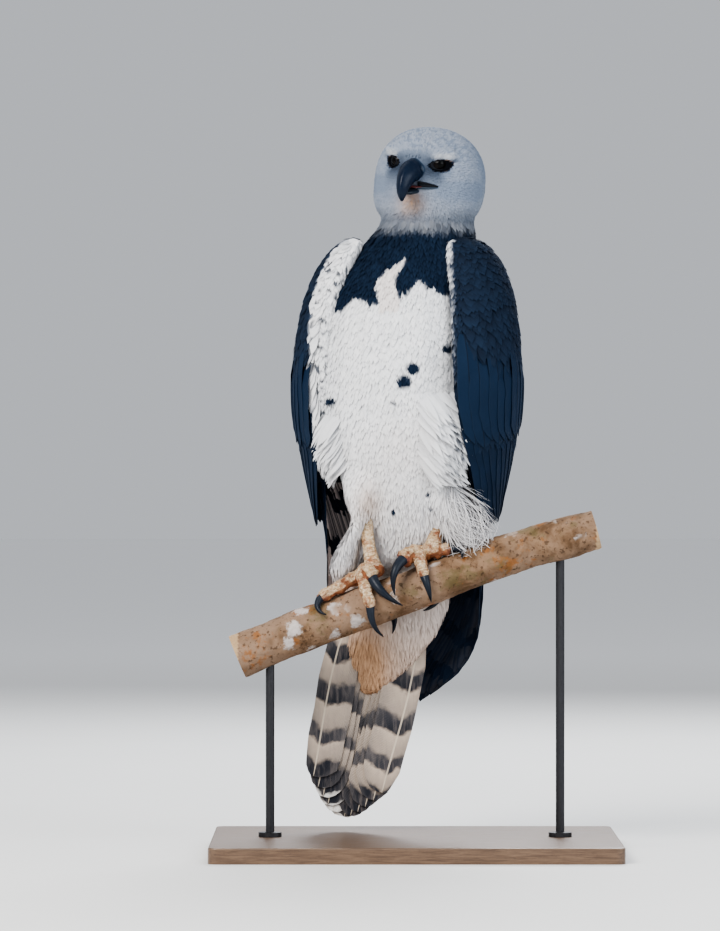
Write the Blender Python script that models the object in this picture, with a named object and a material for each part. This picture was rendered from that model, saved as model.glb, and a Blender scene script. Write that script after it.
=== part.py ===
"""Harpy eagle perched on a cut length of branch, life size, on a plain display stand.

Metres, +Z up. The bird looks towards -Y, a little towards -X. The origin is at the middle of the
underside of the stand's base. Every named part of the animal is one closed solid. Small body
feathers aren't modelled here; flight, tail, covert and crest feathers are.
"""

import math

import bmesh
import bpy
from mathutils import Matrix, Vector

# Gap that touching solids keep.
GAP = 0.0003

# Stand.
BASE_WIDTH = 0.560
BASE_DEPTH = 0.420
BASE_HEIGHT = 0.022
BASE_CORNER = 0.012
ROD_RADIUS = 0.006
ROD_PLACES = (-0.200, 0.200)
COLLAR_RADIUS = 0.016
COLLAR_HEIGHT = 0.006

# Perch: place along X, then height of its axis, its radius.
PERCH_STATIONS = (
    (-0.245, 0.270, 0.0310),
    (-0.200, 0.289, 0.0305),
    (-0.117, 0.321, 0.0300),
    (-0.021, 0.355, 0.0292),
    (0.062, 0.387, 0.0288),
    (0.143, 0.416, 0.0290),
    (0.250, 0.446, 0.0282),
)

# Body turns towards -X by this much, the head by more.
BODY_YAW = math.radians(16)
HEAD_YAW = math.radians(24)
HEAD_PITCH = math.radians(3)
HEAD_ROLL = math.radians(-6)

# Body: height, then middle along X and Y, half width and half depth.
BODY_STATIONS = (
    (0.3903, -0.023, 0.060, 0.068, 0.038),
    (0.4100, -0.021, 0.056, 0.074, 0.046),
    (0.4400, -0.018, 0.050, 0.082, 0.059),
    (0.4900, -0.017, 0.040, 0.094, 0.079),
    (0.5550, -0.019, 0.030, 0.110, 0.098),
    (0.6240, -0.021, 0.026, 0.121, 0.107),
    (0.6930, -0.020, 0.022, 0.123, 0.111),
    (0.7620, -0.015, 0.017, 0.114, 0.104),
    (0.8050, -0.005, 0.011, 0.098, 0.090),
    (0.8350, 0.006, 0.006, 0.081, 0.077),
)
NECK_STATIONS = (
    (0.8353, 0.006, 0.006, 0.081, 0.077),
    (0.8600, 0.015, 0.000, 0.069, 0.068),
    (0.8850, 0.019, -0.004, 0.064, 0.065),
    (0.9100, 0.020, -0.004, 0.056, 0.058),
)

# Head: middle, then reach to the front, back, side, top and bottom.
HEAD_MIDDLE = Vector((0.0197, -0.004, 0.9275))
HEAD_FRONT = 0.062
HEAD_BACK = 0.078
HEAD_SIDE = 0.0765
HEAD_TOP = 0.0735
HEAD_BOTTOM = 0.0740

EYE_RADIUS = 0.0115
EYE_PLACE = (0.0425, 0.0305, 0.0245)
EYE_OUTWARD = math.radians(33)

# Folded wing: height, middle along X and Y, half width and half depth of the pair.
WING_STATIONS = (
    (0.200, -0.020, 0.127, 0.062, 0.030),
    (0.240, -0.018, 0.121, 0.090, 0.036),
    (0.293, -0.015, 0.112, 0.110, 0.046),
    (0.348, -0.012, 0.103, 0.117, 0.058),
    (0.417, -0.011, 0.087, 0.127, 0.074),
    (0.486, -0.011, 0.068, 0.140, 0.093),
    (0.555, -0.011, 0.048, 0.152, 0.113),
    (0.624, -0.011, 0.034, 0.160, 0.127),
    (0.693, -0.010, 0.026, 0.158, 0.133),
    (0.762, -0.008, 0.020, 0.148, 0.126),
    (0.817, -0.004, 0.014, 0.128, 0.109),
    (0.858, 0.002, 0.010, 0.108, 0.090),
)
# Height, then the angle of the wing's front and back edges round the body.
WING_EDGES = (
    (0.205, 30, 160),
    (0.265, 16, 140),
    (0.348, 0, 104),
    (0.400, -8, 82),
    (0.430, -14, 80),
    (0.486, -27, 79),
    (0.555, -42, 78),
    (0.620, -50, 78),
    (0.860, -50, 78),
)
WING_LIMIT = 87
WING_TOP_FRONT = 0.852
WING_TOP_BACK = 0.800
WING_LOW = 0.465
WING_THICK_TOP = 0.046
WING_THICK_LOW = 0.020

# Tiers of wing feathers, from the long flight feathers up to the median coverts.
FLIGHT = {
    "count": 14, "rows": (0.530, 0.450, 0.375, 0.305, 0.245),
    "half_width": 0.0175, "thick": 0.0012, "step": 0.0022,
}
GREATER = {
    "count": 9, "rows": (0.670, 0.630, 0.540, 0.475),
    "half_width": 0.0260, "thick": 0.0012, "step": 0.0024,
}
MEDIAN = {
    "count": 9, "rows": (0.765, 0.725, 0.670),
    "half_width": 0.0240, "thick": 0.0012, "step": 0.0024,
}
LONGEST_FLIGHT = 5
LOWEST_FLIGHT = 0.207

# Tail: root and tip of its midline, and its feathers.
TAIL_ROOT = Vector((-0.023, 0.076, 0.400))
TAIL_TIP = Vector((-0.103, 0.108, 0.042))
TAIL_FEATHERS = 12
TAIL_HALF_VANE = 0.026
TAIL_VANE_SKEW = 0.010
TAIL_THICK = 0.0009
TAIL_STEP = 0.0016
# Share of the tail's length, then how far its outermost shaft is from the midline.
TAIL_SPREAD = ((0.0, 0.020), (0.2, 0.044), (0.41, 0.056), (0.84, 0.050), (1.0, 0.047))
# Coverts under and over the tail's root, in the terms of BODY_STATIONS.
COVERT_STATIONS = (
    (0.215, -0.060, 0.094, 0.010, 0.0060),
    (0.235, -0.054, 0.091, 0.026, 0.0120),
    (0.265, -0.046, 0.087, 0.044, 0.0190),
    (0.300, -0.038, 0.083, 0.058, 0.0240),
    (0.340, -0.031, 0.083, 0.066, 0.0250),
    (0.370, -0.026, 0.083, 0.066, 0.0250),
    (0.3900, -0.023, 0.080, 0.064, 0.0240),
)

# Crest: rows of feathers down the back of the head.
CREST_ROWS = (
    {
        "count": 3, "spread": 26, "root": 64, "tip": 26, "width": 0.0150,
        "lifts": (-0.006, 0.0050, 0.0085, 0.0095, 0.0095),
    },
    {
        "count": 7, "spread": 62, "root": 46, "tip": -6, "width": 0.0150,
        "lifts": (-0.008, 0.0030, 0.0050, 0.0085, 0.0115),
    },
)
CREST_THICK = 0.0010
CREST_TILT = 0.0017

# Legs: feathered thighs in the terms of BODY_STATIONS, then the bare shank's path and radius.
THIGHS = {
    "right": (
        (0.3640, -0.112, 0.022, 0.010, 0.010),
        (0.3820, -0.108, 0.020, 0.023, 0.022),
        (0.4150, -0.103, 0.016, 0.031, 0.034),
        (0.4550, -0.093, 0.012, 0.037, 0.046),
        (0.5100, -0.068, 0.012, 0.049, 0.058),
        (0.5500, -0.052, 0.014, 0.042, 0.050),
    ),
    "left": (
        (0.4180, 0.074, 0.008, 0.012, 0.010),
        (0.4320, 0.064, 0.008, 0.028, 0.022),
        (0.4520, 0.052, 0.008, 0.037, 0.034),
        (0.4800, 0.038, 0.008, 0.042, 0.044),
        (0.5200, 0.024, 0.010, 0.044, 0.054),
        (0.5600, 0.016, 0.014, 0.036, 0.048),
    ),
}
SHANKS = {
    "right": ((-0.070, 0.004, 0.474), (-0.065, -0.008, 0.430), (-0.057, -0.010, 0.390)),
    "left": ((0.036, 0.010, 0.478), (0.030, 0.003, 0.450), (0.024, -0.006, 0.419)),
}
SHANK_RADIUS = 0.0112

# Toes: points along the perch, each its X, its angle from the top towards the front, and its
# height over the bark. The claw's tip is given from its base.
TOES = {
    "right": {
        "inner": {
            "path": ((-0.057, 5, 0.018), (-0.050, 26, 0.020), (-0.046, 42, 0.016)),
            "claw": (0.040, -0.010, -0.036), "bow": 0.012, "size": 1.15,
        },
        "middle": {
            "path": ((-0.058, 5, 0.017), (-0.060, 48, 0.012), (-0.061, 94, 0.008)),
            "claw": (0.017, 0.006, -0.040), "bow": 0.008, "size": 0.9,
        },
        "outer": {
            "path": ((-0.059, 5, 0.016), (-0.090, 16, 0.010), (-0.121, 28, 0.008)),
            "claw": (0.011, -0.019, -0.022), "bow": 0.009, "size": 0.85,
        },
        "hind": {
            "path": ((-0.057, 0, 0.017), (-0.052, -46, 0.014), (-0.046, -92, 0.010)),
            "claw": (0.014, -0.010, -0.044), "bow": 0.012, "size": 1.2,
        },
    },
    "left": {
        "inner": {
            "path": ((0.023, 5, 0.018), (0.009, 22, 0.022), (-0.002, 34, 0.024)),
            "claw": (-0.010, -0.013, -0.048), "bow": 0.012, "size": 1.15,
        },
        "middle": {
            "path": ((0.022, 5, 0.017), (0.019, 40, 0.013), (0.017, 72, 0.008)),
            "claw": (0.009, 0.002, -0.034), "bow": 0.008, "size": 0.9,
        },
        "outer": {
            "path": ((0.025, 5, 0.015), (0.043, 12, 0.010), (0.062, 18, 0.008)),
            "claw": (0.014, -0.018, -0.014), "bow": 0.009, "size": 0.85,
        },
        "hind": {
            "path": ((0.023, 0, 0.017), (0.028, -46, 0.014), (0.032, -94, 0.010)),
            "claw": (-0.022, -0.022, -0.040), "bow": 0.012, "size": 1.2,
        },
    },
}
TOE_RADIUS = 0.0092
TOE_CLEARANCE = 0.021
PLATE_LIFT = 0.0012
CLAW_RADIUS = 0.0066

# Bill, in the head's own terms: forward, up, half width and half height of each section.
UPPER_BILL = (
    (0.0, 0.040, 0.0125, 0.0175, 0.0150),
    (0.2, 0.056, 0.0140, 0.0172, 0.0158),
    (0.4, 0.070, 0.0115, 0.0150, 0.0150),
    (0.6, 0.083, 0.0030, 0.0115, 0.0125),
    (0.8, 0.0915, -0.0105, 0.0070, 0.0085),
    (0.92, 0.0925, -0.0210, 0.0038, 0.0048),
    (1.0, 0.0905, -0.0285, 0.0009, 0.0012),
)
LOWER_BILL = (
    (0.0, 0.040, -0.0120, 0.0150, 0.0052),
    (0.4, 0.058, -0.0140, 0.0125, 0.0050),
    (0.8, 0.073, -0.0165, 0.0080, 0.0036),
    (1.0, 0.080, -0.0172, 0.0030, 0.0016),
)
NOSTRIL_PLACE = (0.0640, 0.0165, 0.0170)
NOSTRIL_SIZE = (0.0020, 0.0030, 0.0048)

COLOURS = {
    "white": ((0.80, 0.79, 0.77), 0.9, 0.0),
    "pale_grey": ((0.55, 0.57, 0.60), 0.9, 0.0),
    "slate": ((0.035, 0.050, 0.085), 0.7, 0.0),
    "barred": ((0.42, 0.38, 0.36), 0.8, 0.0),
    "yellow_skin": ((0.72, 0.48, 0.22), 0.6, 0.0),
    "horn": ((0.045, 0.055, 0.075), 0.35, 0.0),
    "eye": ((0.020, 0.012, 0.010), 0.08, 0.0),
    "mouth": ((0.35, 0.06, 0.06), 0.5, 0.0),
    "bark": ((0.48, 0.31, 0.20), 0.85, 0.0),
    "wood": ((0.10, 0.062, 0.040), 0.5, 0.0),
    "steel": ((0.05, 0.05, 0.055), 0.4, 0.9),
}


def material(colour):
    made = bpy.data.materials.get(colour)
    if made is None:
        made = bpy.data.materials.new(colour)
        made.use_nodes = True
        rgb, roughness, metallic = COLOURS[colour]
        shader = made.node_tree.nodes["Principled BSDF"]
        shader.inputs["Base Color"].default_value = (*rgb, 1.0)
        shader.inputs["Roughness"].default_value = roughness
        shader.inputs["Metallic"].default_value = metallic
    return made


def through(stations, at):
    """Values at a place on a smooth curve through stations, each its place, then its values."""
    at = min(max(at, stations[0][0]), stations[-1][0])
    last = len(stations) - 1
    i = 0
    while i < last - 1 and at > stations[i + 1][0]:
        i += 1
    before, low, high = stations[max(i - 1, 0)], stations[i], stations[i + 1]
    after = stations[min(i + 2, last)]
    span = high[0] - low[0]
    t = (at - low[0]) / span
    values = []
    for k in range(1, len(low)):
        slope_low = (high[k] - before[k]) / (high[0] - before[0]) * span
        slope_high = (after[k] - low[k]) / (after[0] - low[0]) * span
        values.append(
            low[k] * (2 * t**3 - 3 * t**2 + 1)
            + slope_low * (t**3 - 2 * t**2 + t)
            + high[k] * (3 * t**2 - 2 * t**3)
            + slope_high * (t**3 - t**2)
        )
    return values


def spaced(low, high, count):
    return [low + (high - low) * k / (count - 1) for k in range(count)]


def made_object(name, bm, colour):
    bmesh.ops.recalc_face_normals(bm, faces=bm.faces)
    mesh = bpy.data.meshes.new(name)
    bm.to_mesh(mesh)
    bm.free()
    mesh.materials.append(material(colour))
    obj = bpy.data.objects.new(name, mesh)
    bpy.context.scene.collection.objects.link(obj)
    return obj


def loft(name, rings, colour):
    """A closed solid through rings of points, each end closed with a flat face."""
    bm = bmesh.new()
    rows = [[bm.verts.new(point) for point in ring] for ring in rings]
    for low, high in zip(rows, rows[1:]):
        for k in range(len(low)):
            following = (k + 1) % len(low)
            bm.faces.new((low[k], low[following], high[following], high[k]))
    bm.faces.new(rows[0])
    bm.faces.new(rows[-1])
    bmesh.ops.triangulate(bm, faces=bm.faces)
    return made_object(name, bm, colour)


def slab(name, outer, inner, colour):
    """A closed solid between two grids of points, split into triangles alike on both faces."""
    bm = bmesh.new()
    top = [[bm.verts.new(point) for point in row] for row in outer]
    low = [[bm.verts.new(point) for point in row] for row in inner]
    rows, columns = len(top), len(top[0])
    for i in range(rows - 1):
        for j in range(columns - 1):
            for grid, flip in ((top, False), (low, True)):
                a, b = grid[i][j], grid[i + 1][j]
                c, d = grid[i + 1][j + 1], grid[i][j + 1]
                for corners in ((a, b, c), (a, c, d)):
                    bm.faces.new(corners[::-1] if flip else corners)
    rim = [(0, j) for j in range(columns)]
    rim += [(i, columns - 1) for i in range(1, rows)]
    rim += [(rows - 1, j) for j in range(columns - 2, -1, -1)]
    rim += [(i, 0) for i in range(rows - 2, 0, -1)]
    for (i, j), (m, n) in zip(rim, rim[1:] + rim[:1]):
        bm.faces.new((top[i][j], top[m][n], low[m][n]))
        bm.faces.new((top[i][j], low[m][n], low[i][j]))
    return made_object(name, bm, colour)


def oval(middle, half_width, half_depth, count, squareness=2.2):
    """A level ring of points, turned with the body."""
    points = []
    for k in range(count):
        angle = 2 * math.pi * (k + 0.5) / count
        across, back = math.cos(angle), math.sin(angle)
        across = half_width * math.copysign(abs(across) ** (2 / squareness), across)
        back = half_depth * math.copysign(abs(back) ** (2 / squareness), back)
        points.append(middle + body_turn(across, back))
    return points


def body_turn(across, back):
    """A level offset from the body's own left and back to the frame's X and Y."""
    cos, sin = math.cos(BODY_YAW), math.sin(BODY_YAW)
    return Vector((across * cos + back * sin, back * cos - across * sin, 0.0))


def stacked(name, stations, count, sides, colour):
    """A loft of level ovals through body stations."""
    rings = []
    for z in spaced(stations[0][0], stations[-1][0], count):
        x, y, half_width, half_depth = through(stations, z)
        rings.append(oval(Vector((x, y, z)), half_width, half_depth, sides))
    return loft(name, rings, colour)


def pipe(name, points, radii, sides, colour, flat=1.0):
    """A loft of round sections along points. flat squeezes them along the second cross axis."""
    rings = []
    cross = None
    for k, point in enumerate(points):
        ahead = points[min(k + 1, len(points) - 1)] - points[max(k - 1, 0)]
        ahead.normalize()
        if cross is None:
            cross = ahead.orthogonal()
        cross = (cross - ahead * cross.dot(ahead)).normalized()
        other = ahead.cross(cross)
        ring = []
        for s in range(sides):
            angle = 2 * math.pi * s / sides
            ring.append(point + (cross * math.cos(angle) + other * math.sin(angle) * flat) * radii[k])
        rings.append(ring)
    return loft(name, rings, colour)


def delete(obj):
    mesh = obj.data
    bpy.data.objects.remove(obj)
    bpy.data.meshes.remove(mesh)


def settle(obj):
    """Replaces the object's mesh by what its modifiers make of it, largest closed surface only."""
    graph = bpy.context.evaluated_depsgraph_get()
    mesh = bpy.data.meshes.new_from_object(obj.evaluated_get(graph))
    obj.modifiers.clear()
    bm = bmesh.new()
    bm.from_mesh(mesh)
    left = set(bm.faces)
    islands = []
    while left:
        island, edge = set(), {left.pop()}
        while edge:
            island |= edge
            near = {other for face in edge for side in face.edges for other in side.link_faces}
            edge = near - island
        left -= island
        islands.append(island)
    largest = max(islands, key=lambda faces: sum(face.calc_area() for face in faces))
    dropped = [face for island in islands if island is not largest for face in island]
    bmesh.ops.delete(bm, geom=dropped, context="FACES")
    bm.to_mesh(mesh)
    bm.free()
    old = obj.data
    obj.data = mesh
    bpy.data.meshes.remove(old)
    mesh.name = obj.name


def join(obj, pieces, solver="MANIFOLD"):
    """Unites the object with closed pieces, which are then removed."""
    group = bpy.data.collections.new("pieces")
    bpy.context.scene.collection.children.link(group)
    for piece in pieces:
        group.objects.link(piece)
    union = obj.modifiers.new("join", "BOOLEAN")
    union.operation = "UNION"
    union.operand_type = "COLLECTION"
    union.collection = group
    union.solver = solver
    settle(obj)
    for piece in pieces:
        delete(piece)
    bpy.data.collections.remove(group)


def carve(obj, *others, remove=False, solver="MANIFOLD"):
    """Cuts the others, grown by the gap, out of the object."""
    for other in others:
        cutter = bpy.data.objects.new("cutter", other.data.copy())
        bpy.context.scene.collection.objects.link(cutter)
        cutter.data.update()
        moved = [v.co + v.normal * GAP for v in cutter.data.vertices]
        for vertex, place in zip(cutter.data.vertices, moved):
            vertex.co = place
        cut = obj.modifiers.new("carve", "BOOLEAN")
        cut.operation = "DIFFERENCE"
        cut.object = cutter
        cut.solver = solver
        settle(obj)
        delete(cutter)
        if remove:
            delete(other)


def smoothed(obj, angle=40):
    obj.data.shade_smooth()
    obj.data.set_sharp_from_angle(angle=math.radians(angle))


# Perch and stand


def perch_axis(x):
    return Vector((x, 0.0, through(PERCH_STATIONS, x)[0]))


def on_perch(x, turn, height):
    """A point over the bark: turn is its angle from the top of the perch towards the front."""
    step = 0.001
    along = (perch_axis(x + step) - perch_axis(x - step)).normalized()
    front = Vector((0, -1, 0))
    up = along.cross(front)
    if up.z < 0:
        up.negate()
    radius = through(PERCH_STATIONS, x)[1] + height
    angle = math.radians(turn)
    return perch_axis(x) + (up * math.cos(angle) + front * math.sin(angle)) * radius


def bar_along_perch(name, grown):
    places = spaced(PERCH_STATIONS[0][0], PERCH_STATIONS[-1][0], 13)
    points = [perch_axis(x) for x in places]
    radii = [through(PERCH_STATIONS, x)[1] * (1 + 0.02 * math.sin(x * 70)) for x in places]
    return pipe(name, points, [radius + grown for radius in radii], 18, "bark")


def make_stand(perch):
    bm = bmesh.new()
    bmesh.ops.create_cube(bm, size=1.0)
    bmesh.ops.scale(bm, vec=(BASE_WIDTH, BASE_DEPTH, BASE_HEIGHT), verts=bm.verts)
    bmesh.ops.translate(bm, vec=(0, 0, BASE_HEIGHT / 2), verts=bm.verts)
    upright = [e for e in bm.edges if abs(e.verts[0].co.z - e.verts[1].co.z) > BASE_HEIGHT / 2]
    bmesh.ops.bevel(
        bm, geom=upright, offset=BASE_CORNER, segments=5, profile=0.5, affect="EDGES", material=-1
    )
    upper = [e for e in bm.edges if min(v.co.z for v in e.verts) > BASE_HEIGHT - 1e-6]
    bmesh.ops.bevel(
        bm, geom=upper, offset=0.002, segments=2, profile=0.5, affect="EDGES", material=-1
    )
    base = made_object("stand_base", bm, "wood")
    for name, x in zip(("stand_rod_right", "stand_rod_left"), ROD_PLACES):
        foot = BASE_HEIGHT + GAP
        top = perch_axis(x).z
        sections = (
            (foot, COLLAR_RADIUS),
            (foot + COLLAR_HEIGHT, COLLAR_RADIUS),
            (foot + COLLAR_HEIGHT + 0.001, ROD_RADIUS),
            (top, ROD_RADIUS),
        )
        points = [Vector((x, 0, z)) for z, radius in sections]
        rod = pipe(name, points, [radius for z, radius in sections], 16, "steel")
        carve(rod, perch)
        smoothed(rod)
    return base


# Head


def head_frame():
    forward = Vector(
        (
            -math.sin(HEAD_YAW) * math.cos(HEAD_PITCH),
            -math.cos(HEAD_YAW) * math.cos(HEAD_PITCH),
            -math.sin(HEAD_PITCH),
        )
    )
    side = Vector((math.cos(HEAD_YAW), -math.sin(HEAD_YAW), 0.0))
    side = Matrix.Rotation(HEAD_ROLL, 3, forward) @ side
    up = forward.cross(side)
    frame = Matrix((forward, side, up)).transposed().to_4x4()
    frame.translation = HEAD_MIDDLE
    return frame


def head_reach(direction):
    """How far the head's surface is from its middle, towards a unit direction."""
    ahead, side, up = direction
    length = HEAD_FRONT if ahead > 0 else HEAD_BACK
    height = HEAD_TOP if up > 0 else HEAD_BOTTOM
    power = 2.15 + 0.35 * max(0.0, -up)
    total = abs(ahead / length) ** power + abs(side / HEAD_SIDE) ** power
    reach = (total + abs(up / height) ** power) ** (-1 / power)
    swellings = (
        # towards, width in radians, height
        ((1.0, 0.00, 0.10), 0.34, 0.0060),
        ((0.78, 0.56, 0.42), 0.20, -0.0065),
        ((0.72, 0.46, 0.72), 0.24, 0.0050),
        ((0.25, 0.80, -0.60), 0.50, 0.0050),
        ((0.75, 0.50, -0.35), 0.30, 0.0020),
        ((0.45, 0.00, -0.90), 0.40, 0.0030),
        ((-0.80, 0.00, 0.50), 0.45, 0.0030),
    )
    for towards, width, height in swellings:
        aim = Vector((towards[0], math.copysign(towards[1], side), towards[2])).normalized()
        angle = math.acos(max(-1.0, min(1.0, aim.dot(direction))))
        reach += height * math.exp(-((angle / width) ** 2))
    return reach


def head_point(around, height, lift):
    """A point over the head: around is degrees from straight back, height degrees above level."""
    a, h = math.radians(around), math.radians(height)
    direction = Vector((-math.cos(a) * math.cos(h), math.sin(a) * math.cos(h), math.sin(h)))
    return head_frame() @ (direction * (head_reach(direction) + lift))


def crest_feather(row, place):
    """One crest feather, place running from -1 at the right to 1 at the left."""
    around = row["spread"] * place
    tip = row["tip"] + 12 * place**2
    lengths = (0.0, 0.18, 0.55, 0.88, 1.0)
    widths = (0.5, 0.9, 1.0, 0.7, 0.2)
    outward = math.copysign(1, place) if abs(place) > 0.01 else 0
    outer, inner = [], []
    for t, width, lift in zip(lengths, widths, row["lifts"]):
        height = row["root"] + (tip - row["root"]) * t
        away = around * (0.72 + 0.28 * t)
        spread = math.degrees(row["width"] * width / (0.075 * math.cos(math.radians(height * 0.9))))
        row_outer, row_inner = [], []
        for step in (-1, 0, 1):
            raised = lift + CREST_TILT * (step * outward if outward else 1)
            row_outer.append(head_point(away + spread * step, height, raised + CREST_THICK / 2))
            row_inner.append(head_point(away + spread * step, height, raised - CREST_THICK / 2))
        outer.append(row_outer)
        inner.append(row_inner)
    return slab("crest_feather", outer, inner, "slate")


def eye_axes(side):
    """Middle, outward, across and up directions of one eye, in the head's terms."""
    ahead, out, up = EYE_PLACE
    middle = Vector((ahead, out * side, up))
    outward = Vector((math.cos(EYE_OUTWARD), math.sin(EYE_OUTWARD) * side, 0.06)).normalized()
    across = Vector((-math.sin(EYE_OUTWARD), math.cos(EYE_OUTWARD) * side, 0.0))
    across = (across - outward * across.dot(outward)).normalized()
    return middle, outward, across, Vector((0, 0, 1))


def make_eye(name, side):
    frame = head_frame()
    bm = bmesh.new()
    bmesh.ops.create_uvsphere(bm, u_segments=10, v_segments=8, radius=EYE_RADIUS)
    bmesh.ops.translate(bm, vec=frame @ eye_axes(side)[0], verts=bm.verts)
    eye = made_object(name, bm, "eye")
    smoothed(eye)
    return eye


def lid(side, height, radius):
    """A lid: a tapered roll over the eye from its inner to its outer corner."""
    frame = head_frame()
    middle, outward, across, up = eye_axes(side)
    points, radii = [], []
    for k in range(7):
        s = k / 3 - 1
        rise = height * (1 - s * s) - 0.10 * s
        direction = (outward + across * 0.95 * s + up * rise).normalized()
        points.append(frame @ (middle + direction * (EYE_RADIUS + 0.0006)))
        radii.append(radius * (1 - 0.55 * abs(s)))
    return pipe("lid", points, radii, 5, "pale_grey")


def bill_rings(stations, count, sides, keel):
    """Sections of a bill square to its own line; keel pinches the upper side to a ridge."""
    frame = head_frame()
    rings = []
    for place in spaced(0.0, 1.0, count):
        ahead, up, half_width, half_height = through(stations, place)
        before = through(stations, max(place - 0.02, 0.0))
        after = through(stations, min(place + 0.02, 1.0))
        along = Vector((after[0] - before[0], 0, after[1] - before[1])).normalized()
        over = Vector((-along.z, 0, along.x))
        ring = []
        for k in range(sides):
            angle = 2 * math.pi * (k + 0.5) / sides
            across, rise = math.cos(angle), math.sin(angle)
            pinch = 1 - keel * max(rise, 0) ** 2
            offset = over * (rise * half_height) + Vector((0, across * pinch * half_width, 0))
            ring.append(frame @ (Vector((ahead, 0, up)) + offset))
        rings.append(ring)
    return rings


def ball(place, size, slant, colour):
    """A stretched ball in the head's terms, leaning forward by slant degrees."""
    bm = bmesh.new()
    bmesh.ops.create_uvsphere(bm, u_segments=12, v_segments=8, radius=1.0)
    shape = Matrix.Diagonal((*size, 1.0))
    lean = Matrix.Rotation(math.radians(slant), 4, "Y")
    bm.transform(head_frame() @ Matrix.Translation(place) @ lean @ shape)
    return made_object("ball", bm, colour)


def make_head():
    frame = head_frame()
    bm = bmesh.new()
    bmesh.ops.create_uvsphere(bm, u_segments=22, v_segments=18, radius=1.0)
    bm.transform(Matrix.Rotation(math.radians(90), 4, "Y"))
    for vertex in bm.verts:
        direction = vertex.co.normalized()
        vertex.co = frame @ (direction * head_reach(direction))
    bmesh.ops.triangulate(bm, faces=bm.faces)
    head = made_object("head", bm, "pale_grey")
    eyes = [make_eye("eye_left", 1), make_eye("eye_right", -1)]
    upper = loft("bill_upper", bill_rings(UPPER_BILL, 12, 14, 0.35), "horn")
    lower = loft("bill_lower", bill_rings(LOWER_BILL, 6, 12, 0.0), "horn")
    for side in (1, -1):
        ahead, out, up = NOSTRIL_PLACE
        nostril = ball((ahead, out * side, up), NOSTRIL_SIZE, 25, "horn")
        carve(upper, nostril, remove=True)
    lower_name = [lower, upper]
    carve(lower, upper)
    feathers = [crest_feather(CREST_ROWS[0], p) for p in spaced(-1, 1, CREST_ROWS[0]["count"])]
    feathers += [crest_feather(CREST_ROWS[1], p) for p in spaced(-1, 1, CREST_ROWS[1]["count"])]
    lids = [lid(side, *shape) for side in (1, -1) for shape in ((0.72, 0.0032), (-0.50, 0.0022))]
    join(head, feathers + lids, solver="MANIFOLD")
    mouth = ball((0.040, 0, -0.0058), (0.026, 0.030, 0.0014), 0, "mouth")
    carve(head, mouth, remove=True)
    carve(head, *eyes, *lower_name)
    for obj in (head, upper, lower):
        smoothed(obj)
    return head


# Wings


def wing_point(side, z, angle, lift):
    """A point over the folded wing: angle is degrees from the body's side towards its back."""
    x, y, half_width, half_depth = through(WING_STATIONS, z)
    a = math.radians(angle)
    across, back = half_width * math.cos(a), half_depth * math.sin(a)
    normal = Vector((half_depth * math.cos(a), half_width * math.sin(a))).normalized()
    across, back = across + normal.x * lift, back + normal.y * lift
    return Vector((x, y, z)) + body_turn(across * side, back)


def wing_skin(z):
    """Lift of the outer face of the arm, which sinks under the longer coverts."""
    return through(((0.40, -0.008), (0.50, -0.008), (0.62, -0.005), (0.74, 0.0), (0.90, 0.0)), z)[0]


def wing_edges(z):
    return through(WING_EDGES, z)


def wing_arm(name, side):
    """The arm under the coverts, thick at its front edge and thin at its back and lower edges."""
    outer, inner = [], []
    for v in (0, 0.025, 0.09, 0.2, 0.36, 0.55, 0.77, 1.0):
        outer_row, inner_row = [], []
        crown = math.sqrt(1 - (1 - min(1.0, (v + 0.003) / 0.14)) ** 2)
        for s in (0, 0.02, 0.07, 0.17, 0.34, 0.55, 0.77, 1.0):
            top = WING_TOP_FRONT + (WING_TOP_BACK - WING_TOP_FRONT) * s**1.5
            top -= 0.012 * (1 - min(1.0, s / 0.2)) ** 2
            z = top + (WING_LOW - top) * v
            front, back = wing_edges(z)
            angle = front + (back - front) * s
            thick = WING_THICK_TOP + (WING_THICK_LOW - WING_THICK_TOP) * min(1.0, v * 1.15)
            nose = math.sqrt(1 - (1 - min(1.0, (s + 0.003) / 0.12)) ** 2)
            round_off = min(nose, crown)
            outer_row.append(wing_point(side, z, angle, wing_skin(z) - thick / 2 * (1 - round_off)))
            depth = thick / 2 * (1 + round_off * (1 - 0.5 * s))
            inner_row.append(wing_point(side, z, angle, wing_skin(z) - depth))
        outer.append(outer_row)
        inner.append(inner_row)
    return slab(name, outer, inner, "slate")


def wing_feather(side, tier, index, tip, lifts):
    """One feather of a tier, its front edge lying over the one in front of it.

    Feathers of a tier share the heights of their rows, so that their faces stay apart.
    """
    root = tier["rows"][0]
    heights = [z for z in tier["rows"] if z > tip + 0.035] + [tip + 0.016, tip]
    widths = [0.5, 0.95] + [1.0] * (len(heights) - 4) + [0.8, 0.22]
    share = index / (tier["count"] - 1)
    outer, inner = [], []
    for z, width in zip(heights, widths):
        t = (z - root) / (tip - root)
        front, back = wing_edges(z)
        pitch = (back - front) / (tier["count"] - 1)
        middle = front + 3 + (back - front - 6) * share
        x, y, half_width, half_depth = through(WING_STATIONS, z)
        a = math.radians(middle)
        radius = math.hypot(half_width * math.sin(a), half_depth * math.cos(a))
        reach = math.degrees(tier["half_width"] * width / max(radius, 0.05))
        outer_row, inner_row = [], []
        for step in (-1, 0, 1):
            angle = min(middle + reach * step, WING_LIMIT)
            lift = through(lifts, t)[0] + wing_skin(z)
            lift += tier["step"] * (middle - angle) / pitch
            outer_row.append(wing_point(side, z, angle, lift + tier["thick"] / 2))
            inner_row.append(wing_point(side, z, angle, lift - tier["thick"] / 2))
        outer.append(outer_row)
        inner.append(inner_row)
    return slab("wing_feather", outer, inner, "slate")


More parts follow.
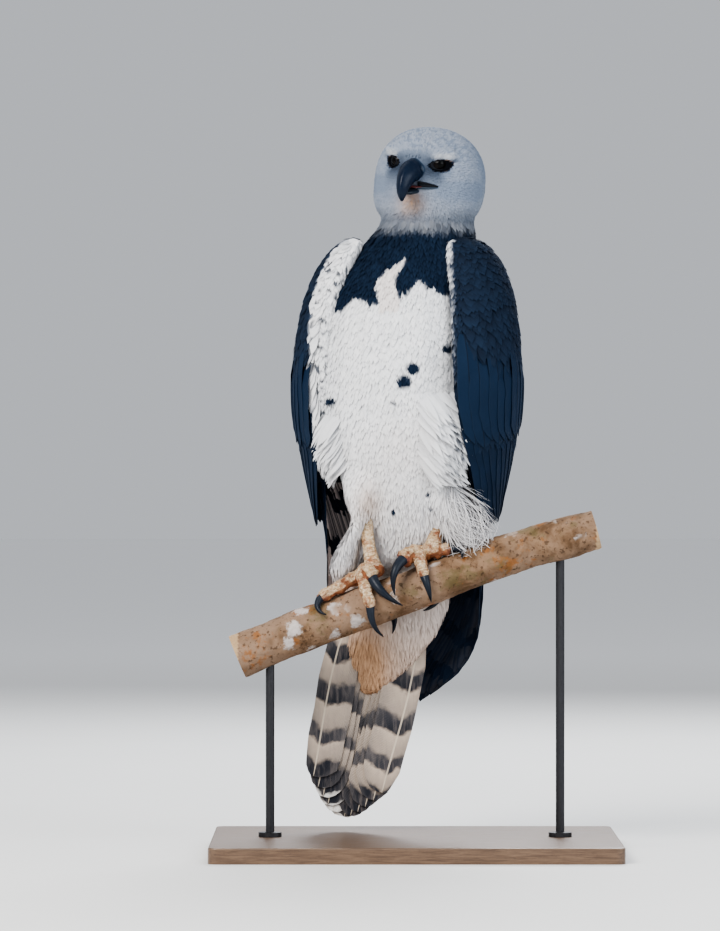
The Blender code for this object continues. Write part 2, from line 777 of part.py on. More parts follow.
def flight_tip(index):
    """Height of a folded flight feather's tip, from the outermost primary inwards."""
    if index < LONGEST_FLIGHT:
        return LOWEST_FLIGHT + 0.0023 * (LONGEST_FLIGHT - index) ** 2
    return LOWEST_FLIGHT + 0.0185 * (index - LONGEST_FLIGHT)


def make_wing(name, side, *touching):
    wing = wing_arm(name, side)
    flight_lifts = ((0.0, -0.010), (0.4, -0.0095), (0.62, -0.003), (1.0, 0.001))
    greater_lifts = ((0.0, -0.010), (0.22, 0.0032), (1.0, 0.0036))
    median_lifts = ((0.0, -0.010), (0.24, 0.0040), (0.55, 0.0080), (1.0, 0.0095))
    feathers = []
    for i in range(FLIGHT["count"]):
        feathers.append(wing_feather(side, FLIGHT, i, flight_tip(i), flight_lifts))
    for i in range(GREATER["count"]):
        tip = 0.440 + 0.004 * i
        feathers.append(wing_feather(side, GREATER, i, tip, greater_lifts))
    for i in range(MEDIAN["count"]):
        feathers.append(wing_feather(side, MEDIAN, i, 0.622 + 0.002 * i, median_lifts))
    join(wing, feathers, solver="MANIFOLD")
    carve(wing, *touching)
    smoothed(wing, 30)
    return wing


# Tail


def tail_feather(index):
    """One tail feather, from half a place beside the midline to the outermost."""
    off = index - (TAIL_FEATHERS - 1) / 2
    away, side = abs(off), math.copysign(1, off)
    outermost = (TAIL_FEATHERS - 1) / 2
    layer = 2 * (away - 0.5) + (0 if side < 0 else 1)
    end = 1 - 0.13 * ((away - 0.5) / (outermost - 0.5)) ** 1.5
    skew = TAIL_VANE_SKEW * away / outermost
    along = TAIL_TIP - TAIL_ROOT
    across = Vector((math.cos(0.10), -math.sin(0.10), 0.0))
    across = (across - along * across.dot(along) / along.length_squared).normalized()
    front = along.cross(across).normalized()
    if front.y > 0:
        front.negate()
    lengths = (0.06, 0.30, 0.60, 0.90, 0.975, 1.0)
    widths = (0.3, 0.85, 1.0, 1.0, 0.72, 0.25)
    outer, inner = [], []
    for t, width in zip(lengths, widths):
        place = t * end
        shaft = TAIL_ROOT + along * place
        shaft += across * side * away / outermost * through(TAIL_SPREAD, place)[0]
        shaft += front * (layer * TAIL_STEP - TAIL_STEP * TAIL_FEATHERS / 2)
        edges = (
            (-side * (TAIL_HALF_VANE + skew) * width, -0.0002),
            (0.0, 0.0),
            (side * (TAIL_HALF_VANE - skew) * width, -0.0002),
        )
        points = [shaft + across * shift + front * sink for shift, sink in edges]
        outer.append([point + front * TAIL_THICK / 2 for point in points])
        inner.append([point - front * TAIL_THICK / 2 for point in points])
    return slab("tail_feather", outer, inner, "barred")


def make_tail(*touching):
    tail = stacked("tail", COVERT_STATIONS, 7, 14, "barred")
    join(tail, [tail_feather(i) for i in range(TAIL_FEATHERS)], solver="MANIFOLD")
    carve(tail, *touching)
    smoothed(tail, 30)
    return tail


# Legs


def curve_points(controls, count):
    stations = [(k / (len(controls) - 1), *point) for k, point in enumerate(controls)]
    return [Vector(through(stations, t)) for t in spaced(0.0, 1.0, count)]


def toe_path(toe, count):
    """Points along a toe, its control points read as places round the perch."""
    return [on_perch(*place) for place in curve_points(toe["path"], count)]


def make_toe(toe):
    """A toe with raised plates along its upper side and swollen pads along its lower side."""
    points = toe_path(toe, 10)
    rings = []
    for k, point in enumerate(points):
        share = k / (len(points) - 1)
        ahead = (points[min(k + 1, 9)] - points[max(k - 1, 0)]).normalized()
        up = point - perch_axis(point.x)
        up = (up - ahead * up.dot(ahead)).normalized()
        side = ahead.cross(up)
        radius = TOE_RADIUS * (1.10 - 0.26 * share) * toe["size"] ** 0.4
        plate = radius + (PLATE_LIFT if k % 2 else 0.0)
        pad = radius * (0.92 + 0.14 * math.cos(share * 4 * math.pi))
        ring = []
        for s in range(8):
            angle = 2 * math.pi * (s + 0.5) / 8
            across, rise = math.cos(angle), math.sin(angle)
            ring.append(point + side * across * radius + up * rise * (plate if rise > 0 else pad))
        rings.append(ring)
    return loft("toe", rings, "yellow_skin")


def make_claw(name, toe):
    """A curved, tapered claw whose root sits in the end of its toe."""
    path = toe_path(toe, 13)
    ahead = (path[-1] - path[-3]).normalized()
    base = path[-1] - ahead * 0.004
    tip = path[-1] + Vector(toe["claw"])
    chord = tip - base
    bow = ahead - chord * ahead.dot(chord) / chord.length_squared
    if bow.length > 1e-6:
        bow.normalize()
    points, radii = [], []
    for k in range(8):
        t = k / 7
        points.append(base + chord * t + bow * toe["bow"] * 4 * t * (1 - t))
        radii.append(CLAW_RADIUS * toe["size"] * (1 - t) ** 0.75 + 0.0005)
    claw = pipe(name, points, radii, 7, "horn")
    smoothed(claw)
    return claw


def make_foot(side, *touching):
    toes = TOES[side]
    foot = pipe(
        f"foot_{side}",
        curve_points(SHANKS[side], 5),
        [SHANK_RADIUS * (1 + 0.10 * math.cos(k * 1.5)) for k in range(5)],
        10,
        "yellow_skin",
    )
    hub = Vector(SHANKS[side][-1])
    bm = bmesh.new()
    bmesh.ops.create_icosphere(bm, subdivisions=2, radius=0.0150)
    bmesh.ops.scale(bm, vec=(1.0, 1.0, 0.80), verts=bm.verts)
    bmesh.ops.translate(bm, vec=hub, verts=bm.verts)
    pad = made_object("pad", bm, "yellow_skin")
    claws = [make_claw(f"claw_{side}_{name}", toe) for name, toe in toes.items()]
    join(foot, [pad] + [make_toe(toe) for toe in toes.values()])
    carve(foot, *touching, *claws)
    smoothed(foot)
    return [foot] + claws


def main():
    for obj in list(bpy.data.objects):
        bpy.data.objects.remove(obj)
    perch = bar_along_perch("perch_branch", 0.0)
    smoothed(perch)
    make_stand(perch)

    head = make_head()
    torso = stacked("torso", BODY_STATIONS, 13, 20, "white")
    neck = stacked("neck", NECK_STATIONS, 4, 20, "slate")
    carve(neck, head)
    carve(torso, bar_along_perch("clearance", TOE_CLEARANCE), remove=True)
    thighs = {}
    for side in ("right", "left"):
        thighs[side] = stacked(f"thigh_{side}", THIGHS[side], 10, 16, "white")
        carve(thighs[side], torso, perch)
    carve(thighs["left"], thighs["right"])
    feet = {}
    for side in ("right", "left"):
        feet[side] = make_foot(side, perch, thighs[side], torso)
    make_tail(perch, *feet["right"], *feet["left"])
    make_wing("wing_left", 1, torso, neck, thighs["left"])
    make_wing("wing_right", -1, torso, neck, thighs["right"])
    for obj in (torso, neck, *thighs.values()):
        smoothed(obj)


main()
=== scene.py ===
import math

import bmesh
import bpy
import numpy as np
from mathutils import Matrix, Vector, noise
from mathutils.bvhtree import BVHTree


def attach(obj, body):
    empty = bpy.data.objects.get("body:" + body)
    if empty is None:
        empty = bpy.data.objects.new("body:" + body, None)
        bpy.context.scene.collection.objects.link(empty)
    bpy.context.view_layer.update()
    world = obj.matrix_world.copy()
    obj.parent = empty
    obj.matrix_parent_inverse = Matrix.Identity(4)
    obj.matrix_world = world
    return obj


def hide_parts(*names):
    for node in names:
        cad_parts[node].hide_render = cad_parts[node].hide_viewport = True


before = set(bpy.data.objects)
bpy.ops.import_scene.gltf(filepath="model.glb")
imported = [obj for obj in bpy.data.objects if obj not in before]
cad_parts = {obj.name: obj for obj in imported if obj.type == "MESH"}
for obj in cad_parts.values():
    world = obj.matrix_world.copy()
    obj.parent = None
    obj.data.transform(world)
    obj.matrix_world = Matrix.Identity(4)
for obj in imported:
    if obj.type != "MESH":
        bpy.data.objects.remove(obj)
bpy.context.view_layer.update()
draw = np.random.default_rng(11)

# Shared shape of the bird, as the solids have it.
bird = {
    "yaw": math.radians(16), "headYaw": math.radians(24), "headPitch": math.radians(3),
    "headRoll": math.radians(-6), "headMiddle": (0.0197, -0.004, 0.9275),
    "headFront": 0.062, "headBack": 0.078, "headSide": 0.0765,
    "headTop": 0.0735, "headBottom": 0.0740,
    "middle": (  # height, then the body's middle along X and Y
        (0.20, -0.060, 0.094), (0.34, -0.031, 0.083), (0.39, -0.023, 0.060), (0.49, -0.017, 0.040),
        (0.62, -0.021, 0.026), (0.76, -0.015, 0.017), (0.86, 0.015, 0.000), (1.01, 0.020, -0.004),
    ),
}
yawCos, yawSin = math.cos(bird["yaw"]), math.sin(bird["yaw"])


# Numbers

def through(stations, at):  # values on a smooth curve through stations, each its place first
    rows = np.asarray(stations, float)
    at = np.clip(np.asarray(at, float), rows[0, 0], rows[-1, 0])
    i = np.clip(np.searchsorted(rows[:, 0], at) - 1, 0, len(rows) - 2)
    low, high = rows[i], rows[i + 1]
    before, after = rows[np.maximum(i - 1, 0)], rows[np.minimum(i + 2, len(rows) - 1)]
    span = (high[..., 0] - low[..., 0])[..., None]
    t = (at - low[..., 0])[..., None] / span
    slopeLow = (high[..., 1:] - before[..., 1:]) / (high[..., :1] - before[..., :1]) * span
    slopeHigh = (after[..., 1:] - low[..., 1:]) / (after[..., :1] - low[..., :1]) * span
    return (
        low[..., 1:] * (2 * t**3 - 3 * t**2 + 1) + slopeLow * (t**3 - 2 * t**2 + t)
        + high[..., 1:] * (3 * t**2 - 2 * t**3) + slopeHigh * (t**3 - t**2)
    )


def smoothStep(low, high, value):
    t = np.clip((np.asarray(value, float) - low) / (high - low), 0, 1)
    return t * t * (3 - 2 * t)


def bump(value, middle, width):
    return np.exp(-(((value - middle) / width) ** 2))


def stacked(*values):  # arrays or plain numbers, side by side
    return np.stack(np.broadcast_arrays(*values), -1)


def unit(v):
    return v / np.maximum(np.linalg.norm(v, axis=-1, keepdims=True), 1e-9)


def alongSurface(v, normal):
    return unit(v - normal * (v * normal).sum(-1, keepdims=True))


def bodyTurn(across, back):  # from left and back, in the body's own turn, to X, Y and Z
    return stacked(across * yawCos + back * yawSin, back * yawCos - across * yawSin, 0.0)


def bodyUnturn(place, middle):
    x, y = place[:, 0] - middle[:, 0], place[:, 1] - middle[:, 1]
    return x * yawCos - y * yawSin, x * yawSin + y * yawCos


def roundBody(place):  # left and back of the body's middle, in the body's own turn
    return bodyUnturn(place, through(bird["middle"], place[:, 2]))


def lumps(place, size, seed=0.0):  # smooth noise from -1 to 1
    shifted = place / size + seed
    return np.array([noise.noise(Vector(p)) for p in shifted.tolist()])


# Materials

class Wire:  # one socket, with the operators that the shader maths needs
    def __init__(self, tree, socket):
        self.tree, self.socket = tree, socket

    def node(self, kind, settings=None, inputs=None, output=0):
        made = self.tree.nodes.new(kind)
        for name, value in (settings or {}).items():
            if name == "stops":
                stops = made.color_ramp.elements
                stops.remove(stops[1])
                stops[0].position, stops[0].color = value[0][0], (*value[0][1], 1.0)
                for position, colour in value[1:]:
                    stops.new(position).color = (*colour, 1.0)
            else:
                setattr(made, name, value)
        for name, value in (inputs or {}).items():
            socket = made.inputs[name]
            if isinstance(value, Wire):
                self.tree.links.new(value.socket, socket)
            elif socket.type == "RGBA" and len(value) == 3:
                socket.default_value = (*value, 1.0)
            else:
                socket.default_value = value
        return Wire(self.tree, made.outputs[output])

    def maths(self, operation, *values):
        return self.node("ShaderNodeMath", {"operation": operation}, dict(enumerate(values)))

    def sine(self):
        return self.maths("SINE", self)

    def __abs__(self):
        return self.maths("ABSOLUTE", self)

    def __add__(self, other):
        return self.maths("ADD", self, other)

    def __sub__(self, other):
        return self.maths("SUBTRACT", self, other)

    def __rsub__(self, other):
        return self.maths("SUBTRACT", other, self)

    def __mul__(self, other):
        return self.maths("MULTIPLY", self, other)

    def __truediv__(self, other):
        return self.maths("DIVIDE", self, other)

    def __pow__(self, other):
        return self.maths("POWER", self, other)


class Finish:  # a material and the wires that most of them start from
    def __init__(self, name, **fixed):
        self.material = bpy.data.materials.new(name)
        self.material.use_nodes = True
        tree = self.material.node_tree
        self.shader = tree.nodes["Principled BSDF"]
        self.start = Wire(tree, self.shader.outputs[0])
        for socket, value in fixed.items():
            self.shader.inputs[socket.replace("_", " ")].default_value = value
        self.place = self.start.node("ShaderNodeTexCoord", output=3)

    def parts(self, name=None):  # the three values of an attribute, or of the place
        whole = self.place
        if name:
            whole = whole.node("ShaderNodeAttribute", {"attribute_name": name}, output=1)
        split = whole.node("ShaderNodeSeparateXYZ", inputs={0: whole})
        return [Wire(split.tree, socket) for socket in split.socket.node.outputs]

    def cloud(self, scale, detail=3.0, roughness=0.55, vector=None, distortion=0.0):
        inputs = {
            "Vector": vector or self.place, "Scale": scale, "Detail": detail,
            "Roughness": roughness, "Distortion": distortion,
        }
        return self.start.node("ShaderNodeTexNoise", inputs=inputs)

    def cells(self, scale, feature="F1"):
        inputs = {"Vector": self.place, "Scale": scale}
        return self.start.node("ShaderNodeTexVoronoi", {"feature": feature}, inputs)

    def step(self, value, low, high, first=0.0, last=1.0):
        inputs = {0: value, 1: low, 2: high, 3: first, 4: last}
        settings = {"interpolation_type": "SMOOTHSTEP"}
        return self.start.node("ShaderNodeMapRange", settings, inputs)

    def mix(self, amount, first, second):
        settings = {"data_type": "RGBA"}
        return self.start.node("ShaderNodeMix", settings, {0: amount, 6: first, 7: second}, 2)

    def layers(self, tone, *over):  # each an amount and the tone that it lays over those before
        for amount, colour in over:
            tone = self.mix(amount, tone, colour)
        return tone

    def ramp(self, value, stops):
        return self.start.node("ShaderNodeValToRGB", {"stops": stops}, {0: value})

    def stretched(self, scale):
        settings = {"vector_type": "TEXTURE"}
        inputs = {0: self.place, 3: tuple(1 / s for s in scale)}
        return self.start.node("ShaderNodeMapping", settings, inputs)

    def feed(self, socket, wire):
        wire.tree.links.new(wire.socket, self.shader.inputs[socket])

    def done(self, tone, height=None, distance=0.0, strength=0.0):
        self.feed("Base Color", tone)
        if height:
            inputs = {"Strength": strength, "Distance": distance, "Height": height}
            self.feed("Normal", self.start.node("ShaderNodeBump", inputs=inputs))
        return self.material


plumageColours = {
    "white": (0.80, 0.81, 0.825), "grey": (0.158, 0.201, 0.270), "cream": (0.54, 0.335, 0.205),
    "slate": (0.0044, 0.0082, 0.0175), "slateTip": (0.0125, 0.0255, 0.0525),
    "bare": (0.0020, 0.0024, 0.0040),
}
shaftEdges = 0.06, 0.03  # how far across a vane its shaft reaches


def makePlumage():  # mark: slate, cream and grey shares; vane: across, along, chance
    finish = Finish("plumage", Roughness=0.86, Specular_IOR_Level=0.05)
    slate, cream, grey = finish.parts("mark")
    across, along, chance = finish.parts("vane")
    patchy = finish.cloud(45.0)
    tone = plumageColours
    # random grey tint per feather, plus painted shade: each feather greyer towards its base, where the
    # feathers over it would shade it
    greyAndBaseShade = finish.step(chance * 0.5 + patchy * 0.5, 0.3, 0.8) * 0.10 + finish.step(along, 0.9, 0.1) * 0.10
    pale = finish.layers(
        tone["white"], (grey, tone["grey"]), (greyAndBaseShade + grey * chance * 0.25, tone["grey"]),
        (cream, tone["cream"]),
    )
    tips = finish.step(along, 0.45, 1.0) * 0.40 + chance * 0.30 + finish.step(patchy, 0.4, 0.7) * 0.15
    bare = finish.step(cream, 0.60, 0.95)  # skin round the eyes
    dark = finish.layers(tone["slate"], (tips, tone["slateTip"]), (bare, tone["bare"]))
    side = abs(across)
    barbs = (along * 150.0 - side * 22.0).sine()
    return finish.done(finish.mix(slate, pale, dark), barbs * 0.5 + side * -1.5, 0.0004, 0.35)


def makeFlight():  # mark: inner face, tier, distance along the feather in metres
    finish = Finish("flight_vane", Roughness=0.60, Specular_IOR_Level=0.09)
    inner, tier, reach = finish.parts("mark")
    across, along, chance = finish.parts("vane")
    wobble = finish.cloud(60.0) - 0.5
    side = abs(across)
    shaft = finish.step(side, *shaftEdges)
    swing = (reach + wobble * 0.022 + side * 0.012 + chance * 0.030) * (2 * math.pi / 0.050)
    slate = finish.layers(
        (0.0048, 0.0122, 0.0295),
        (finish.step(swing.sine(), -0.10, 0.35) * (0.75 - tier * 0.6), (0.0024, 0.0056, 0.0135)),
        (tier * 0.9, (0.0074, 0.0215, 0.0500)),
        (chance * 0.30 + finish.step(finish.cloud(130.0), 0.45, 0.7) * 0.2, (0.0080, 0.0212, 0.0485)),
        (finish.step(side, 0.86, 1.0) * 0.35 + finish.step(along, 0.93, 1.0) * 0.3, (0.014, 0.026, 0.048)),
        (shaft * 0.6, (0.006, 0.007, 0.010)),
    )
    x, _, z = finish.parts()
    height = z * 88.0 + x * 60.0 + wobble * 4.0 + side * 1.2 + chance * 0.9 + 1.6
    wedges = finish.step(height.sine(), 0.30, 0.55)
    under = finish.layers((0.95, 0.84, 0.81), (wedges, (0.010, 0.012, 0.018)), (shaft, (0.30, 0.26, 0.22)))
    return finish.done(finish.mix(inner, slate, under), (along * 420.0 - side * 60.0).sine(), 0.00025, 0.35)


def makeBarred():  # mark: under face, side of the tail, distance from the tip in metres
    finish = Finish("tail_vane", Roughness=0.7, Sheen_Weight=0.1, Specular_IOR_Level=0.3)
    _, sideOf, reach = finish.parts("mark")
    across, along, chance = finish.parts("vane")
    wobble = finish.cloud(55.0) - 0.5
    side = abs(across)
    place = (reach + wobble * 0.022 - side * 0.010 + (chance - 0.5) * 0.010 + sideOf * 0.010) / 0.40
    black, pale = (0.010, 0.012, 0.020), (0.33, 0.275, 0.230)
    dim, buff = (0.036, 0.036, 0.044), (0.50, 0.410, 0.335)
    bands = finish.ramp(place, (
        (0.0, (0.80, 0.78, 0.75)), (0.016, (0.70, 0.68, 0.65)), (0.026, black), (0.095, black),
        (0.112, pale), (0.160, buff), (0.172, dim), (0.205, dim), (0.222, pale),
        (0.285, buff), (0.298, black), (0.345, dim), (0.362, pale), (0.425, buff),
        (0.440, black), (0.485, dim), (0.505, buff), (0.580, pale), (0.595, dim),
        (0.635, black), (0.655, pale), (1.0, buff),
    ))
    streaks = finish.cloud(70.0, 3.0, 0.5, finish.stretched((3.0, 3.0, 0.5)))
    tone = finish.layers(
        bands, (finish.step(streaks, 0.42, 0.72) * 0.30, (0.27, 0.23, 0.21)),
        (finish.step(side, 0.5, 1.0) * 0.25, (0.16, 0.145, 0.14)),
        (finish.step(side, *shaftEdges) * 0.8, (0.60, 0.52, 0.42)),
    )
    return finish.done(tone, (along * 460.0 - side * 60.0).sine(), 0.00025, 0.35)


def makeHorn():  # vane: from the root to the tip, share of the bill's tones, paler edge
    finish = Finish("horn", Roughness=0.36, Coat_Weight=0.03, Coat_Roughness=0.2, Specular_IOR_Level=0.17)
    along, ofBill, edge = finish.parts("vane")
    cloud = finish.cloud(240.0, 4.0)
    streak = finish.cloud(60.0, 3.0)
    claw = finish.mix(along, (0.020, 0.026, 0.038), (0.0040, 0.0050, 0.0080))
    beak = finish.mix(finish.step(along, 0.08, 0.48), (0.066, 0.112, 0.175), (0.0012, 0.0062, 0.0195))
    tone = finish.layers(
        claw, (ofBill, beak), (finish.step(streak, 0.35, 0.75) * 0.35, (0.010, 0.020, 0.038)),
        (edge, (0.026, 0.036, 0.042)),
    )
    finish.feed("Roughness", finish.step(cloud, 0.3, 0.7, 0.30, 0.46))
    return finish.done(tone, cloud, 0.0005, 0.25)


def makeEye():  # vane: the eyeball's own point, its third part outwards
    finish = Finish("eye_gloss", Roughness=0.10, Specular_IOR_Level=0.10)
    x, y, _ = finish.parts("vane")
    reach = (x * x + y * y) ** 0.5
    iris = finish.mix(finish.cloud(900.0, 2.0), (0.0018, 0.0014, 0.0018), (0.0060, 0.0036, 0.0032))
    return finish.done(finish.layers(
        (0.0015, 0.0015, 0.0018), (finish.step(reach, 0.42, 0.48), iris),
        (finish.step(reach, 0.70, 0.80), (0.010, 0.010, 0.012)),
    ))


def makeLidSkin():
    finish = Finish("lid_skin", Roughness=0.60, Specular_IOR_Level=0.15)
    tone = finish.mix(finish.cloud(120.0), (0.0022, 0.0030, 0.0055), (0.0065, 0.0085, 0.0140))
    return finish.done(tone, finish.cells(900.0), 0.0006, 0.5)


def makeMouth():
    finish = Finish("mouth_lining", Roughness=0.35)
    cloud = finish.cloud(150.0)
    tone = finish.mix(cloud, (0.060, 0.0090, 0.0090), (0.115, 0.022, 0.020))
    return finish.done(tone, cloud, 0.0006, 0.4)


def makeFootSkin():  # vane: rust and painted shade on the lower side of the toe, nearness to the claw, scute
    finish = Finish("foot_skin", Roughness=0.52, Specular_IOR_Level=0.45)
    lower, tip, scute = finish.parts("vane")
    cells = finish.cells(430.0, "DISTANCE_TO_EDGE")
    fine = finish.cloud(260.0, 4.0)
    grain = finish.step(fine, 0.35, 0.65)
    blotch = finish.cloud(75.0, 5.0, 0.6) - 0.5
    pale = finish.mix(grain, (0.52, 0.345, 0.185), (0.78, 0.64, 0.46))
    rust = finish.mix(grain, (0.150, 0.042, 0.018), (0.34, 0.115, 0.045))
    groove = finish.step(cells, 0.0, 0.12, 1.0, 0.0) * (1 - scute * 0.6) * 0.75
    stain = finish.step(finish.cloud(140.0, 4.0), 0.50, 0.62) * finish.step(tip, 0.02, 0.30, 0.20, 0.65)
    # the rust tone over the toes' lower sides, their joints and the shanks' backs is painted shade; the
    # blotches and the inner toe's ball are the skin's own rust
    tone = finish.layers(
        pale, (finish.step(lower + blotch * 1.8, 0.05, 0.50), rust),
        (finish.step(tip + blotch * 0.4, 0.80, 1.02) * 0.85, (0.17, 0.050, 0.042)),
        (groove, (0.20, 0.080, 0.030)), (stain, (0.36, 0.145, 0.055)),
    )
    return finish.done(tone, finish.step(cells, 0.0, 0.16) + fine * 0.4, 0.0012, 0.8)


def makeBark():  # vane: the cut ends
    finish = Finish("bark", Roughness=0.85, Specular_IOR_Level=0.2)
    cut = finish.parts("vane")[0]
    middle = finish.cloud(34.0, 6.0, 0.62, distortion=0.4)
    fine = finish.cloud(190.0, 4.0)
    rust = finish.step(finish.cloud(26.0, 6.0, 0.68), 0.54, 0.63)
    moss = finish.step(finish.cloud(15.0, 6.0, 0.72), 0.55, 0.66)
    lichen = finish.step(finish.cells(30.0) + (finish.cloud(80.0, 5.0, 0.7) - 0.5) * 0.9, 0.36, 0.20)
    spread = finish.step(finish.cloud(11.0, 4.0), 0.48, 0.56)
    tan = finish.layers(
        (0.104, 0.058, 0.030), (finish.step(middle, 0.36, 0.64), (0.236, 0.150, 0.094)),
        (finish.step(finish.cloud(9.0, 5.0), 0.48, 0.60) * 0.8, (0.262, 0.178, 0.124)),
        (rust * 0.75, (0.235, 0.088, 0.022)), (moss * 0.60, (0.105, 0.088, 0.038)),
        (finish.step(fine, 0.56, 0.66) * 0.7, (0.046, 0.025, 0.014)),
        (lichen * spread * 0.9, finish.mix(fine, (0.32, 0.29, 0.275), (0.60, 0.55, 0.53))),
    )
    wood = finish.layers(
        (0.46, 0.33, 0.20), (finish.cloud(30.0), (0.35, 0.23, 0.13)),
        (finish.step(fine, 0.5, 0.7) * 0.4, (0.26, 0.16, 0.09)),
    )
    return finish.done(finish.mix(cut, tan, wood), middle * 0.6 + fine * 0.4, 0.0035, 0.8)


def makeStainedWood():
    finish = Finish("stained_wood", Roughness=0.42, Coat_Weight=0.25, Coat_Roughness=0.25)
    grain = finish.cloud(30.0, 6.0, 0.6, finish.stretched((0.9, 14.0, 14.0)), 0.6)
    pores = finish.cloud(300.0, 2.0, 0.5, finish.stretched((0.6, 9.0, 9.0)))
    tone = finish.layers(
        (0.085, 0.048, 0.028), (finish.step(grain, 0.30, 0.70), (0.165, 0.100, 0.060)),
        (finish.step(pores, 0.55, 0.7) * 0.5, (0.045, 0.026, 0.016)),
    )
    finish.feed("Roughness", finish.step(grain, 0.3, 0.7, 0.36, 0.50))
    return finish.done(tone, grain * 0.6 + pores * 0.4, 0.0006, 0.25)


def makeSteel():
    finish = Finish("dark_steel", Roughness=0.42, Metallic=0.85)
    cloud = finish.cloud(400.0, 3.0)
    finish.feed("Roughness", finish.step(cloud, 0.3, 0.7, 0.34, 0.52))
    return finish.done(finish.mix(cloud, (0.030, 0.030, 0.033), (0.060, 0.060, 0.066)), cloud, 0.0003, 0.2)


def makeFloor():
    finish = Finish("floor_paper", Roughness=0.8)
    x, y, _ = finish.parts()
    near = finish.mix(finish.cloud(3.0), (0.70, 0.70, 0.69), (0.73, 0.73, 0.72))
    far = finish.step(x * x + y * y, 2.5, 60.0)  # painted light: paler far off, making up for the lamps' falloff there, so that it meets the backdrop's tone
    return finish.done(finish.mix(far, near, (0.97, 0.97, 0.97)))


plumage = makePlumage()
flightVane = makeFlight()
tailVane = makeBarred()
horn = makeHorn()
print("finishes made")


# Meshes

def meshOf(name, points, faces, uv, vane, mark):
    mesh = bpy.data.meshes.new(name)
    mesh.vertices.add(len(points))
    mesh.vertices.foreach_set("co", points.astype(np.float32).ravel())
    mesh.loops.add(faces.size)
    mesh.loops.foreach_set("vertex_index", faces.astype(np.int32).ravel())
    mesh.polygons.add(len(faces))
    mesh.polygons.foreach_set("loop_start", np.arange(0, faces.size, 3, dtype=np.int32))
    mesh.update(calc_edges=True)
    mesh.validate()
    setAttribute(mesh, "vane", vane)
    setAttribute(mesh, "mark", mark)
    layer = mesh.uv_layers.new(name="OFBake")
    layer.data.foreach_set("uv", uv[faces.ravel()].astype(np.float32).ravel())
    return mesh


def finished(name, mesh, material, nodes=(), angle=None):
    mesh.materials.clear()
    mesh.materials.append(material)
    mesh.shade_smooth()
    if angle:
        mesh.set_sharp_from_angle(angle=math.radians(angle))
    obj = bpy.data.objects.new(name, mesh)
    bpy.context.scene.collection.objects.link(obj)
    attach(obj, "root")
    if nodes:
        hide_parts(*nodes)
    return obj


def ringGrid(bm, rings):  # a skin through closed rings of points
    rows, count = len(rings), len(rings[0])
    made = bmesh.ops.create_grid(bm, x_segments=count, y_segments=rows - 1, size=1.0)["verts"]
    for vertex in made:
        column = round((vertex.co.x + 1) / 2 * count) % count
        row = round((vertex.co.y + 1) / 2 * (rows - 1))
        vertex.co = rings[row][column]
    bmesh.ops.remove_doubles(bm, verts=made, dist=1e-7)


def loft(bm, rings):  # the same with its ends filled
    ringGrid(bm, rings)
    kept = [vertex for vertex in bm.verts if vertex.is_valid and vertex.is_boundary]
    open_ = list({edge for vertex in kept for edge in vertex.link_edges if edge.is_boundary})
    bmesh.ops.holes_fill(bm, edges=open_, sides=0)


def toMesh(name, bm):
    bmesh.ops.recalc_face_normals(bm, faces=bm.faces)
    mesh = bpy.data.meshes.new(name)
    bm.to_mesh(mesh)
    bm.free()
    return mesh


def arraysOf(mesh):  # its points and their normals
    both = []
    for key in ("co", "normal"):
        values = np.empty(len(mesh.vertices) * 3, np.float32)
        mesh.vertices.foreach_get(key, values)
        both.append(values.reshape(-1, 3).astype(float))
    return both


def setPoints(mesh, points):
    mesh.vertices.foreach_set("co", points.astype(np.float32).ravel())
    mesh.update()


def setAttribute(mesh, name, values):  # a row for each point, or one row for all
    layer = mesh.attributes.new(name, "FLOAT_VECTOR", "POINT")
    rows = np.broadcast_to(np.asarray(values, np.float32), (len(mesh.vertices), 3))
    layer.data.foreach_set("vector", rows.ravel())


def remeshed(name, bm, voxel, smoothing):
    rough = bpy.data.objects.new("rough", toMesh("rough", bm))
    bpy.context.scene.collection.objects.link(rough)
    voxels = rough.modifiers.new("voxels", "REMESH")
    voxels.mode, voxels.voxel_size = "VOXEL", voxel
    soften = rough.modifiers.new("soften", "SMOOTH")
    soften.factor, soften.iterations = 0.5, smoothing
    graph = bpy.context.evaluated_depsgraph_get()
    mesh = bpy.data.meshes.new_from_object(rough.evaluated_get(graph))
    mesh.name = name
    bpy.data.objects.remove(rough)
    return mesh


# Head shape, in the head's own ahead, left and up

def headMatrix():
    yaw, pitch = bird["headYaw"], bird["headPitch"]
    level = math.cos(pitch)
    forward = Vector((-math.sin(yaw) * level, -math.cos(yaw) * level, -math.sin(pitch)))
    side = Matrix.Rotation(bird["headRoll"], 3, forward) @ Vector((math.cos(yaw), -math.sin(yaw), 0.0))
    turned = Matrix((forward, side, forward.cross(side))).transposed().to_4x4()
    turned.translation = Vector(bird["headMiddle"])
    return turned


headFrame = headMatrix()
headTurn = np.array(headFrame)[:3, :3]
headAt = np.array(bird["headMiddle"])


def fromHead(local):
    return local @ headTurn.T + headAt


def toHead(world):
    return (world - headAt) @ headTurn


headSwellings = (  # towards, width in radians, height
    ((1.0, 0.00, 0.10), 0.34, 0.0060), ((0.78, 0.56, 0.42), 0.20, -0.0065),
    ((0.72, 0.46, 0.72), 0.24, 0.0050), ((0.25, 0.80, -0.60), 0.50, 0.0050),
    ((0.75, 0.50, -0.35), 0.30, 0.0020), ((0.45, 0.00, -0.90), 0.40, 0.0030),
    ((-0.80, 0.00, 0.50), 0.45, 0.0030),
)
headFeatures = (  # finer forms: brow, lore, cheek crease
    ((0.80, 0.36, 0.49), 0.09, 0.0045), ((0.69, 0.50, 0.52), 0.09, 0.0070),
    ((0.56, 0.64, 0.53), 0.10, 0.0060), ((0.88, 0.36, 0.30), 0.13, -0.0022),
    ((0.62, 0.72, -0.10), 0.12, -0.0012), ((0.35, 0.90, -0.18), 0.13, -0.0012),
    ((0.72, 0.55, 0.36), 0.16, -0.0015), ((0.80, 0.55, 0.10), 0.12, 0.0015),
)


